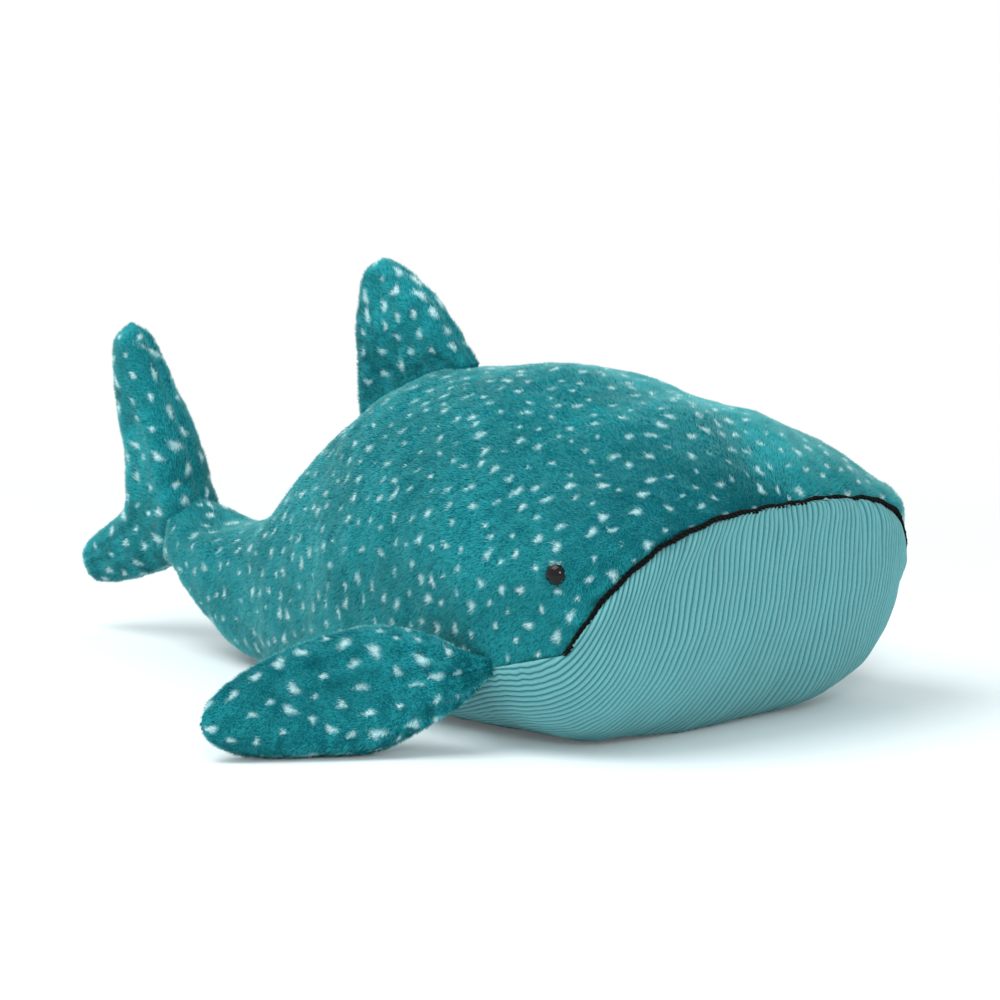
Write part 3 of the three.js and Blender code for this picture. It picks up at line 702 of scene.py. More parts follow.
def plush_pile():
    """Short polyester pile. It has no gloss, only a soft pale sheen at grazing angles. Its colour darkens
    from the tips to the roots as painted shade deep in the pile, broad patches carry painted sheen and shade,
    and the locks differ a little in tone by clump and by chance. A lock seen from its underside is lit
    through from above, as thin fibres are."""
    material, tree = start_material("plush_pile_polyester")
    if tree is None:
        return material
    colour = colours()
    # painted shade: the colour darkens from the tips of the locks down to their roots
    height = add_node(tree, "ShaderNodeAttribute", attribute_name="height").outputs["Fac"]
    body = add_node(tree, "ShaderNodeMix", {0: height, 6: rgba(colour.pile_root_shade),
                    7: rgba(colour.pile_tip)}, data_type="RGBA").outputs[2]
    place = add_node(tree, "ShaderNodeTexCoord").outputs["Object"]
    # painted sheen and shade: broad patches, about 50 mm across, lighter and darker as brushed pile catches
    # the light
    patch = add_node(tree, "ShaderNodeTexNoise", {"Vector": place, "Scale": 20.0, "Detail": 2.0})
    shade = add_node(tree, "ShaderNodeMapRange", {"Value": patch.outputs["Fac"], "From Min": 0.35,
                     "From Max": 0.65, "To Min": 0.82, "To Max": 1.12})
    tone = add_node(tree, "ShaderNodeAttribute", attribute_name="tone").outputs["Fac"]
    tone = add_node(tree, "ShaderNodeMapRange", {"Value": tone, "To Min": 0.75, "To Max": 1.25})
    both = add_node(tree, "ShaderNodeMath", {0: shade.outputs[0], 1: tone.outputs[0]}, operation="MULTIPLY")
    body = add_node(tree, "ShaderNodeHueSaturation", {"Color": body, "Value": both.outputs[0]}).outputs[0]
    spot = add_node(tree, "ShaderNodeAttribute", attribute_name="spot").outputs["Fac"]
    body = add_node(tree, "ShaderNodeMix", {0: spot, 6: body, 7: rgba(colour.spot)},
                    data_type="RGBA").outputs[2]
    front = add_node(tree, "ShaderNodeBsdfPrincipled", {
        "Base Color": body, "Roughness": 0.9, "Specular IOR Level": 0.05, "Sheen Weight": 1.0,
        "Sheen Roughness": 0.4, "Sheen Tint": rgba(linear("#cfeae2"))})
    under = add_node(tree, "ShaderNodeBsdfTranslucent", {"Color": body})
    side = add_node(tree, "ShaderNodeNewGeometry").outputs["Backfacing"]
    pick = add_node(tree, "ShaderNodeMixShader", {0: side, 1: front.outputs[0], 2: under.outputs[0]})
    add_node(tree, "ShaderNodeOutputMaterial", {"Surface": pick.outputs[0]})
    return material


def plush_backing():
    """The knitted ground that the pile stands on. It shows only between the locks, and its dark colour is
    painted shade there, with its spots painted darker than on the pile.
    """
    material, tree = start_material("plush_ground_knit_painted_shade")
    if tree is None:
        return material
    colour = colours()
    place = add_node(tree, "ShaderNodeTexCoord").outputs["Object"]
    # the knit's loops, drawn 1 mm wide so that they show
    loops = add_node(tree, "ShaderNodeTexNoise", {"Vector": place, "Scale": 1000.0, "Detail": 1.0})
    # painted shade: the ground is coloured dark, from the pile's root shade to a darker teal
    ground = add_node(tree, "ShaderNodeMix", {0: loops.outputs["Fac"], 6: rgba(linear("#04525d")),
                      7: rgba(colour.pile_root_shade)}, data_type="RGBA").outputs[2]
    # painted shade: the spots on the ground are a dimmer pale than on the pile
    spot = add_node(tree, "ShaderNodeAttribute", attribute_name="spot").outputs["Fac"]
    ground = add_node(tree, "ShaderNodeMix", {0: spot, 6: ground, 7: rgba(linear("#9fc4c9"))},
                      data_type="RGBA").outputs[2]
    finish_material(tree, {"Base Color": ground, "Roughness": 1.0, "Specular IOR Level": 0.1})
    return material


def corduroy():
    """Fine-wale cotton corduroy: soft cut-pile ribs with short fibres that lie along them. The crowns are
    coloured lighter and the grooves darker, partly for the thinner pile in the grooves and partly as
    painted shade there."""
    material, tree = start_material("corduroy_cotton_fine_wale")
    if tree is None:
        return material
    colour = colours()
    cloth = add_node(tree, "ShaderNodeUVMap", uv_map="cloth").outputs[0]
    # fibres of the cut pile, 0.25 mm across and 1.5 mm along
    stretched = add_node(tree, "ShaderNodeMapping", {"Vector": cloth, "Scale": (700, 4000, 1)})
    fibre = add_node(tree, "ShaderNodeTexNoise", {"Vector": stretched.outputs[0], "Scale": 1.0,
                     "Detail": 2.0})
    # worn patches, about 20 mm across
    wide = add_node(tree, "ShaderNodeMapping", {"Vector": cloth, "Scale": (30, 60, 1)})
    worn = add_node(tree, "ShaderNodeTexNoise", {"Vector": wide.outputs[0], "Scale": 1.0, "Detail": 3.0})
    # crown to groove colour: the grooves' darkness is partly thinner pile and partly painted shade
    crown = add_node(tree, "ShaderNodeAttribute", attribute_name="rib").outputs["Fac"]
    body = add_node(tree, "ShaderNodeMix", {0: crown, 6: rgba(colour.groove), 7: rgba(colour.rib)},
                    data_type="RGBA").outputs[2]
    light = add_node(tree, "ShaderNodeMapRange", {"Value": fibre.outputs["Fac"], "From Min": 0.3,
                     "From Max": 0.7, "To Min": 0.88, "To Max": 1.1})
    patch = add_node(tree, "ShaderNodeMapRange", {"Value": worn.outputs["Fac"], "From Min": 0.3,
                     "From Max": 0.7, "To Min": 0.95, "To Max": 1.05})
    both = add_node(tree, "ShaderNodeMath", {0: light.outputs[0], 1: patch.outputs[0]}, operation="MULTIPLY")
    body = add_node(tree, "ShaderNodeHueSaturation", {"Color": body, "Value": both.outputs[0]}).outputs[0]
    bump = add_node(tree, "ShaderNodeBump", {"Height": fibre.outputs["Fac"], "Strength": 0.5,
                    "Distance": 0.0002})
    finish_material(tree, {"Base Color": body, "Roughness": 0.95, "Specular IOR Level": 0.15,
                           "Sheen Weight": 0.25, "Sheen Roughness": 0.5,
                           "Sheen Tint": rgba(linear("#d5f0f0")), "Normal": bump.outputs[0]})
    return material


def braided_cord():
    """Waxless cotton cord, dyed black: matt, with the fine twist of its yarns."""
    material, tree = start_material("cotton_cord_black")
    if tree is None:
        return material
    colour = colours()
    cloth = add_node(tree, "ShaderNodeUVMap", uv_map="cloth").outputs[0]
    # yarns, 0.3 mm wide, that wind round each strand
    yarn = add_node(tree, "ShaderNodeTexWave", {"Vector": cloth, "Scale": 900.0, "Distortion": 1.5},
                    bands_direction="DIAGONAL")
    tint = add_node(tree, "ShaderNodeMix", {0: yarn.outputs["Fac"], 6: rgba(linear("#040506")),
                    7: rgba(colour.cord)}, data_type="RGBA").outputs[2]
    bump = add_node(tree, "ShaderNodeBump", {"Height": yarn.outputs["Fac"], "Strength": 0.6,
                    "Distance": 0.00015})
    finish_material(tree, {"Base Color": tint, "Roughness": 0.85, "Specular IOR Level": 0.1,
                           "Sheen Weight": 0.03, "Sheen Roughness": 0.4, "Normal": bump.outputs[0]})
    return material


def eye_plastic():
    """Polished black ABS, moulded: a clear sharp highlight, with faint polishing marks in its gloss."""
    material, tree = start_material("abs_polished_black")
    if tree is None:
        return material
    place = add_node(tree, "ShaderNodeTexCoord").outputs["Object"]
    marks = add_node(tree, "ShaderNodeTexNoise", {"Vector": place, "Scale": 900.0, "Detail": 2.0})
    rough = add_node(tree, "ShaderNodeMapRange", {"Value": marks.outputs["Fac"], "To Min": 0.05,
                     "To Max": 0.12})
    finish_material(tree, {"Base Color": rgba(colours().eye), "Roughness": rough.outputs[0],
                           "IOR": 1.5, "Specular IOR Level": 0.25})
    return material


def washer_plastic():
    """Natural polypropylene, moulded: waxy and slightly milky, with a fine parting grain."""
    material, tree = start_material("polypropylene_natural")
    if tree is None:
        return material
    place = add_node(tree, "ShaderNodeTexCoord").outputs["Object"]
    grain = add_node(tree, "ShaderNodeTexNoise", {"Vector": place, "Scale": 600.0, "Detail": 2.0})
    tint = add_node(tree, "ShaderNodeMix", {0: grain.outputs["Fac"], 6: rgba(linear("#dedbd2")),
                    7: rgba(linear("#ebe8e1"))}, data_type="RGBA").outputs[2]
    finish_material(tree, {"Base Color": tint, "Roughness": 0.5, "IOR": 1.49})
    return material


def pouch_cotton():
    """Unbleached cotton calico: a plain weave, matt, with slubs."""
    material, tree = start_material("cotton_calico")
    if tree is None:
        return material
    place = add_node(tree, "ShaderNodeTexCoord").outputs["Object"]
    # threads 0.8 mm apart, drawn coarse so that they show
    weave = add_node(tree, "ShaderNodeTexBrick", {"Vector": place, "Scale": 600.0, "Mortar Size": 0.05,
                     "Color1": rgba(linear("#d9d3c4")), "Color2": rgba(linear("#cfc8b7")),
                     "Mortar": rgba(linear("#a39c8b"))})
    finish_material(tree, {"Base Color": weave.outputs["Color"], "Roughness": 0.95})
    return material


# Skins of the body


def body_skin_rows():
    """Rows of the plush from the stalk's seam to the nose, about 2.2 mm apart."""
    stalk = stalk_rows(24)
    back = body_rows(np.linspace(STALK_PINCH_START, HEAD_X, 150, endpoint=False))
    return join_rows(stalk, back, body_rows(head_x(90)))


def shaped(points, normals, drawn_in, seed):
    """The smooth skin with its seams drawn in and the slight lumps of its filling. Round each eye it
    stands a little prouder, as the eye's washer presses it out from behind."""
    lumps = 0.8 * ripple(points, 70, seed) + 0.3 * ripple(points, 22, seed + 1)
    eye = eye_place(np.sign(points[..., 1].mean()))[0]
    near = np.exp(-((np.linalg.norm(points - eye, axis=-1) / EYE["reach"]) ** 4))
    moved = points + normals * ((lumps - drawn_in) * (1 - near) + EYE["proud"] * near)[..., None]
    moved[..., 2] = np.maximum(moved[..., 2], 0.2)
    return moved


def plush_skin(side):
    """One side of the plush skin: rows of the body, each run from its seam to the ridge in equal steps.
    The pile lies back along the ridge and more and more down the side with the distance from it."""
    rows = body_skin_rows()
    angle, distance, _ = girth(rows)
    seam = seam_distance(rows)[:, None]
    whole = distance[:, -1:]
    share = np.linspace(0, 1, 92)[None, :]
    round_it = seam + (whole - seam) * share
    points = close_stalk(section_point(rows, angle_at(angle, distance, round_it)), rows)
    points[:, -1, 1] = 0
    points = points if side > 0 else mirror_y(points)
    out = from_axis(points, 70)
    normals = grid_normals(points, out)
    depth = sizes().seam_depth / METRES
    from_seam = (round_it - seam) + np.where(seam > 0.5, 0, 60)
    at_lip = np.clip((rows["x_top"] - SIDE_SEAM_X[-1] + 6) / 12, 0, 1)[:, None]
    groove = depth * (0.12 + 0.88 * at_lip) * np.exp(-((from_seam / 3.2) ** 2))
    points = shaped(points, normals, BODY_PILE_ROOM + groove, sizes().seed)
    points[:, -1, 1] = 0
    normals = grid_normals(points, out)
    from_ridge = (whole - round_it)[..., None]
    lay = -unit(np.gradient(points, axis=1)) * (1 - np.exp(-from_ridge / 30))
    front = np.clip((rows["x_top"] - 180) / 60, 0, 1)[:, None, None]
    lay = lay - (0.5 + 0.8 * front) * unit(np.gradient(points, axis=0))
    from_eye = np.linalg.norm(points - eye_place(side)[0], axis=-1)
    radius = sizes().eye_radius / METRES
    return {
        "points": points,
        "normals": normals,
        "lay": lay,
        "keep": (from_eye > radius * 0.8).astype(float),
        "raised": np.exp(-((from_eye / (radius * 1.5)) ** 4)),
    }


def grid_area(points):
    """The area that each point of a grid stands for."""
    return np.linalg.norm(np.cross(np.gradient(points, axis=0), np.gradient(points, axis=1)), axis=-1)


def make_back(side, name):
    """A plush panel of the body with its pile."""
    size = sizes()
    skin = plush_skin(side)
    points, normals = skin["points"], skin["normals"]
    spots = Spots(points, normals, skin["lay"], grid_area(points), size.spot_spacing / METRES,
                  size.spot_radius / METRES, 1.0, size.seed + (3 if side > 0 else 4))
    faces = faces_outwards(points, grid_faces(*points.shape[:2]), normals)
    panel = new_mesh(f"back_panel_{name}_skin", points, faces, {"spot": spots.paleness(points)})
    panel.data.materials.append(plush_backing())
    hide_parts(f"back_panel_{name}")
    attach(panel, "body")
    pile_on(f"back_panel_{name}_pile", skin, spots, plush_pile(), 20 + side,
            lambda piece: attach(piece, "body"))


def pucker(place, below):
    """How deep the small folds are that the mouth seam gathers: each a narrow groove along the ribs that
    starts at the lip and fades with the distance below it, with a swelling beside it."""
    depth = 0
    for middle, width, deep in MOUTH_FOLDS:
        off = (place - middle) / width
        depth = depth + deep * (np.exp(-(off**2)) - 0.35 * np.exp(-(((np.abs(off) - 3.2) / 2) ** 2)))
    return depth * np.exp(-((below / 26) ** 2))


def rib_number(x, distance, points):
    """How many ribs lie between the keel and each point of the rows. Behind the fan's start it is the
    distance round over the pitch. Along the keel from there to the nose, the square, the cube and the
    fourth power of the share of the way gone are added, times the distance round, the distance out from
    the middle and the cubes of both. Past the fan's end each rib keeps its distance from the middle
    plus a share of the distance round. No rib is wider than a limit."""
    keel = np.r_[0, np.cumsum(np.linalg.norm(np.diff(points[:, 0], axis=0), axis=1))]
    start = np.interp(RIB_FAN_START, x, keel)
    gone = np.clip((keel - start) / (keel[-1] - start), 0, 1)[:, None]
    parts = {"round": distance / 100, "out": np.abs(points[..., 1]) / 100}
    parts |= {f"{key}_cubed": part**3 for key, part in parts.items()}
    number = distance / (sizes().rib_pitch / METRES)
    for key, terms in RIB_FAN.items():
        number = number + parts[key] * sum(k * gone ** (i + 2) for i, k in enumerate(terms))
    number = np.maximum.accumulate(number, axis=1)
    place = np.abs(points[..., 1]) + RIB_LEAN * distance
    last = np.searchsorted(gone[:, 0], RIB_FAN_END)
    widest = np.argmax(place[last])
    number[last:] = np.interp(place[last:], place[last, :widest], number[last, :widest])
    least = np.diff(distance, axis=1) / (WIDEST_RIB * sizes().rib_pitch / METRES)
    number[:, 1:] = np.cumsum(np.maximum(np.diff(number, axis=1), least), axis=1)
    return number


def belly_rows():
    """Rows of the corduroy, closer together from the tail to the mouth's corner, and then at even steps
    along the right half of the mouth seam to just short of the nose."""
    corner = SIDE_SEAM_X[-1]
    lip = lip_route(361)[0][:180, 0]
    return join_rows(
        body_rows(np.linspace(BELLY_X[0], 100, 56, endpoint=False)),
        body_rows(np.linspace(100, corner, 84, endpoint=False)),
        body_rows(np.append(lip, NOSE_X - 1e-9)),
    )


def make_belly():
    """The corduroy panel. Its columns are the ribs, five points to a rib, so the ribs run along the belly
    and up the front of the head to the mouth. Each rib is a rounded ridge: a half sine to a power below 1.
    Gathers ripple the cloth under the side seam, and folds and a bulge follow the mouth."""
    size = sizes()
    pitch = size.rib_pitch / METRES
    rows = belly_rows()
    angle, distance, round_points = girth(rows)
    seam = seam_distance(rows)
    per_rib = 5
    number = rib_number(rows["x_bottom"], distance, round_points)
    ribs = math.ceil(np.max([np.interp(s, d, n) for s, d, n in zip(seam, distance, number)]))
    # where each rib's points lie round the rows, cut off at the seam
    column = np.arange(-ribs * per_rib, ribs * per_rib + 1)
    across = column * pitch / per_rib
    along = rows["x_bottom"][:, None]
    edge = seam[:, None]
    rib = np.abs(column) / per_rib
    straight = np.array([np.interp(rib, n, d) for n, d in zip(number, distance)])
    inside = np.minimum(straight, edge)
    below = edge - inside
    at_side = np.exp(-(((along - 178) / 38) ** 4)) * np.exp(-below / 9)
    gathers = (np.sin(along / 1.25) + 0.7 * np.sin(along / 2.1 + 1)) * at_side
    on_cloth = np.stack([along + 0 * below, column / 4 + 0 * below, 0 * below], -1)
    slack = 0.3 * ripple(on_cloth, 55, size.seed + 9)
    moved = 0.75 * gathers + slack * np.clip(straight / 15, 0, 1)
    round_it = np.minimum(inside + moved * np.clip(below / 5, 0, 1), edge)
    points = section_point(rows, angle_at(angle, distance, np.abs(round_it)))
    points[..., 1] *= np.where(column >= 0, 1, -1)
    normals = grid_normals(points, from_axis(points, 90))
    normals[-1] = (1, 0, 0)
    length = run_along(points.transpose(1, 0, 2)).T
    last = np.max(np.where(straight <= edge, length, 0), axis=0)
    from_lip = np.maximum(last[None, :] - length, 0)
    # how far each point stands out from the smooth skin
    crown = np.abs(np.sin(math.pi * column / per_rib)) ** 0.65
    crown = np.broadcast_to(crown, below.shape)
    at_lip = np.clip((along - SIDE_SEAM_X[-1] + 4) / 10, 0, 1)
    gathered = pucker(across, from_lip) * at_lip
    groove = size.seam_depth / METRES * (0.1 + 0.9 * at_lip) * np.exp(-((below / 2.6) ** 2))
    bulge = 1.8 * at_lip * np.exp(-(((from_lip - 13) / 10) ** 2))
    lumps = 0.7 * ripple(points, 75, size.seed + 6) + 0.2 * ripple(points, 20, size.seed + 7)
    ridge = crown * np.clip(below / 1.2, 0, 1) * size.rib_height / METRES
    height = ridge - 0.9 + lumps + bulge - groove - gathered + 0.35 * gathers
    points = points + normals * height[..., None]
    points[..., 2] = np.maximum(points[..., 2], 0)
    faces = faces_outwards(points, grid_faces(*points.shape[:2]), normals)
    kept = (straight < edge + 1e-6).ravel()[faces].any(1)
    uv = np.stack([np.broadcast_to(length[:, len(column) // 2, None], below.shape),
                   np.broadcast_to(across, below.shape)], -1)
    # the rib attribute also sets the colour: lighter crowns and darker grooves, partly painted shade
    panel = new_mesh("belly_panel_skin", points, faces[kept], {"rib": crown}, uv)
    panel.data.materials.append(corduroy())
    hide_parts("belly_panel", "body_filling")
    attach(panel, "body")


# Mouth cord and eyes


def lip_route(count):
    """Points along the mouth seam from its right corner round the nose to its left corner, at even
    steps, with the skin's outward direction at each."""
    side = np.linspace(-1, 1, 801)
    share = np.sin(math.pi / 2 * (1 - np.abs(side)))
    x = SIDE_SEAM_X[-1] + (NOSE_X - SIDE_SEAM_X[-1]) * share
    z = lip_height(x)
    rows = body_rows(x)
    above = z > rows["widest"]
    power = np.where(above, BACK_ROUNDNESS, BELLY_ROUNDNESS)
    tall = np.where(above, rows["top"] - rows["widest"], rows["widest"] - rows["bottom"])
    off = np.clip(np.abs(z - rows["widest"]) / np.maximum(tall, 1e-6), 0, 1)
    y = rows["half"] * (1 - off**power) ** (1 / power) * np.sign(side)
    line = np.stack([x, y, z], -1)
    length = np.r_[0, np.cumsum(np.linalg.norm(np.diff(line, axis=0), axis=1))]
    even = np.linspace(0, length[-1], count)
    line = np.stack([np.interp(even, length, line[:, k]) for k in range(3)], -1)
    ahead = unit(np.gradient(line, axis=0))
    out = unit(line - np.array(HEAD_MIDDLE))
    out = unit(out - ahead * (out * ahead).sum(1, keepdims=True))
    return line, ahead, out, even


def tube(path, ahead, out, radius, sides):
    """Rings round a path, each with a radius of its own. A ring's plane is spanned by the outward
    direction and its cross product with the path's."""
    turn = np.linspace(0, 2 * math.pi, sides, endpoint=False)
    beside = np.cross(ahead, out)
    ring = np.cos(turn)[None, :, None] * out[:, None] + np.sin(turn)[None, :, None] * beside[:, None]
    return path[:, None] + ring * radius[:, None, None]


def make_mouth_cord():
    """Two strands twisted round each other along the mouth seam, sunk halfway into it. The strands swell
    and thin a little, and small stitches pull the cord to and fro."""
    radius = sizes().cord_radius / METRES
    line, ahead, out, length = lip_route(700)
    beside = np.cross(ahead, out)
    pull = 0.5 * np.sin(length / 8.3) * np.sin(length / 29 + 1) + 0.35 * np.sin(length / 3.1)
    line = line + beside * pull[:, None] + out * (0.25 * np.sin(length / 5.2) - 0.35)[:, None]
    end = np.clip(np.minimum(length, length[-1] - length) / 3, 0, 1) ** 0.5
    strands, uvs = [], []
    sides = 12
    for k in range(CORD_STRANDS):
        turn = 2 * math.pi * length / CORD_TWIST + math.pi * k
        sway = np.cos(turn)[:, None] * out + np.sin(turn)[:, None] * beside
        path = line + STRAND_OFFSET * radius * sway
        thick = STRAND_RADIUS * radius * end * (1 + 0.14 * np.sin(length / 4.7 + 2 * k))
        rings = tube(path, unit(np.gradient(path, axis=0)), out, thick, sides)
        strands.append(rings)
        around = np.linspace(0, 2 * math.pi * STRAND_RADIUS * radius, sides)
        around = np.broadcast_to(around, rings.shape[:2])
        uvs.append(np.stack([np.broadcast_to(length[:, None], around.shape), around], -1))
    points = np.concatenate(strands)
    one = grid_faces(len(line), sides, wrap=True)
    faces = np.concatenate([one, one + len(line) * sides])
    centre = np.repeat(points.mean(1, keepdims=True), sides, 1)
    faces = faces_outwards(points, faces, points - centre)
    cord = new_mesh("mouth_cord_twisted", points, faces, uv=np.concatenate(uvs))
    cord.data.materials.append(braided_cord())
    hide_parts("mouth_cord")
    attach(cord, "body")


def side_at(x, z):
    """Half the body's width at a place and a height."""
    rows = body_rows(np.array([float(x)]))
    above = z > rows["widest"][0]
    power = BACK_ROUNDNESS if above else BELLY_ROUNDNESS
    tall = rows["top"][0] - rows["widest"][0] if above else rows["widest"][0] - rows["bottom"][0]
    return rows["half"][0] * (1 - min(abs(z - rows["widest"][0]) / tall, 1) ** power) ** (1 / power)


def eye_place(side):
    """The middle of an eye on the skin, and the way out of the head there."""
    x, z, step = EYE["x"], EYE["height"], 0.5
    out = np.array([
        side_at(x - step, z) - side_at(x + step, z),
        2 * step,
        side_at(x, z - step) - side_at(x, z + step),
    ])
    out[1] *= side
    return np.array([x, side * side_at(x, z), z]), out / np.linalg.norm(out)


def make_eye(side, name):
    """An eye turned on its own axis: a stem, a flat back with a rounded rim and a low dome, which is a
    quarter ellipse."""
    radius = sizes().eye_radius / METRES
    middle, out = eye_place(side)
    quarter = np.linspace(0, math.pi / 2, 24)
    dome = np.stack([radius * np.cos(quarter), EYE["rise"] * np.sin(quarter)], -1)
    back, end = -0.5, -EYE["stem_length"]
    rim = np.array([(radius - 0.5, back), (radius - 0.12, -0.3)])
    stem = np.array([(0, end), (EYE["stem"] * 0.8, end), (EYE["stem"], end + 1), (EYE["stem"], back)])
    profile = np.vstack([stem, rim, dome])
    first = unit(np.cross(out, [0, 0, 1]))
    second = np.cross(out, first)
    turn = np.linspace(0, 2 * math.pi, 64, endpoint=False)
    ring = np.cos(turn)[:, None] * first + np.sin(turn)[:, None] * second
    points = middle - out * EYE["sunk"] + profile[:, None, :1] * ring[None] + profile[:, None, 1:] * out
    faces = grid_faces(len(profile), len(turn), wrap=True)
    lean = np.broadcast_to(ring[None], points.shape) + out * 0.2
    bead = new_mesh(f"eye_{name}_bead", points, faces_outwards(points, faces, lean))
    bead.data.materials.append(eye_plastic())
    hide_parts(f"eye_{name}")
    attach(bead, "body")
    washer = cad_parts[f"eye_washer_{name}"]
    washer.data.materials.clear()
    washer.data.materials.append(washer_plastic())


# Fins


def sheet_between(fronts, backs, halves, out):
    """A fin's middle sheet: straight from a front edge to a back edge, both splines. It gives the point,
    the direction of the thickness and half the thickness before the crown."""
    front, back = spline_through(fronts), spline_through(backs)
    half = smooth_through(np.linspace(0, 1, len(halves)), halves)

    def sheet(u, v):
        a, b = front(u), back(u)
        return a + (b - a) * v[..., None], out(a, b), half(u)

    return sheet


def sideways(front, _):
    """The thickness of an upright fin goes to the toy's left."""
    return np.broadcast_to((0, 1.0, 0), front.shape)


def dorsal_sheet():
    """The dorsal fin's sheet. Its lowest row follows the ridge of the back, and rows above it straighten
    with a power of the height."""
    def ridge(x):
        return TOP_AT(x) + HINGE_GAP

    fronts = [(x, 0, ridge(x) if z is None else z) for x, z in DORSAL["front"]]
    backs = [(x, 0, ridge(x) if z is None else z) for x, z in DORSAL["back"]]
    flat = sheet_between(fronts, backs, DORSAL["half"], sideways)

    def sheet(u, v):
        point, out, half = flat(u, v)
        start = flat(np.zeros_like(u), v)[0]
        lift = (1 - u) ** DORSAL["base_fade"] * (ridge(start[..., 0]) - start[..., 2])
        return point + lift[..., None] * np.array([0, 0, 1]), out, half

    return sheet


def tail_sheet():
    """The tail fin's sheet. Its front edge is straight along the seam on the stalk, and there it runs a
    little into the stalk. It is thicker towards that edge, as the stalk's fullness runs on into it."""
    top, low = (np.array([x, 0, z], float) for x, z in (STALK_SEAM_TOP, STALK_SEAM_BOTTOM))
    run = (top - low) / np.linalg.norm(top - low)
    forward = np.array([run[2], 0, -run[0]])
    roots = [low - forward * HINGE_GAP, top - forward * HINGE_GAP]
    first, last = TAIL_FIN["root"]
    fronts = [(p[0], 0, p[1]) if p else tuple(roots[i - first]) for i, p in enumerate(TAIL_FIN["front"])]
    backs = [(x, 0, z) for x, z in TAIL_FIN["back"]]
    curved = sheet_between(fronts, backs, TAIL_FIN["half"], sideways)
    thick_front = smooth_through(np.linspace(0, 1, len(backs)), TAIL_FIN["front_half"])
    spans = len(backs) - 1

    def sheet(u, v):
        point, out, half = curved(u, v)
        share = np.clip((u * spans - first) / (last - first), 0, 1)
        straight = roots[0] + (roots[1] - roots[0]) * share[..., None]
        bent = curved(u, np.zeros_like(u))[0]
        within = ((u * spans > first) & (u * spans < last))[..., None]
        middle = np.exp(-(((u * spans - (first + last) / 2) / 0.5) ** 4))[..., None]
        inside = TAIL_FIN["sunk"] * middle * forward
        half = half + (thick_front(u) - half) * np.exp(-((v / 0.5) ** 2))
        return point + (np.where(within, straight - bent, 0) + inside) * (1 - v[..., None]), out, half

    return sheet


def pectoral_sheet(side):
    """A pectoral fin's sheet, swept back from a short upright root on the body's side."""
    x, height, chord = (PECTORAL_ROOT[key] for key in ("x", "height", "chord"))

    def on_side(z):
        return np.array([x, side * (side_at(x, z) + HINGE_GAP), z])

    hinge = on_side(height)
    sweep = math.radians(PECTORAL_SWEEP)
    along = np.array([-math.sin(sweep), side * math.cos(sweep), 0])
    inwards = np.array([-math.cos(sweep), -side * math.sin(sweep), 0])

    def edge(distance, z, lean):
        return np.array([hinge[0], hinge[1], z]) + along * distance + inwards * lean

    uppers = [on_side(height + chord / 2)]
    uppers += [edge(a, z, lean) for a, z, lean in zip(PECTORAL["along"], PECTORAL["high"], PECTORAL["lean"])]
    lowers = [on_side(height - chord / 2)]
    lowers += [edge(a, z, 0) for a, z in zip(PECTORAL["along"], PECTORAL["low"])]
    return sheet_between(uppers, lowers, (4, *PECTORAL["half"]),
                         lambda a, b: unit(np.cross(b - a, along) * side))


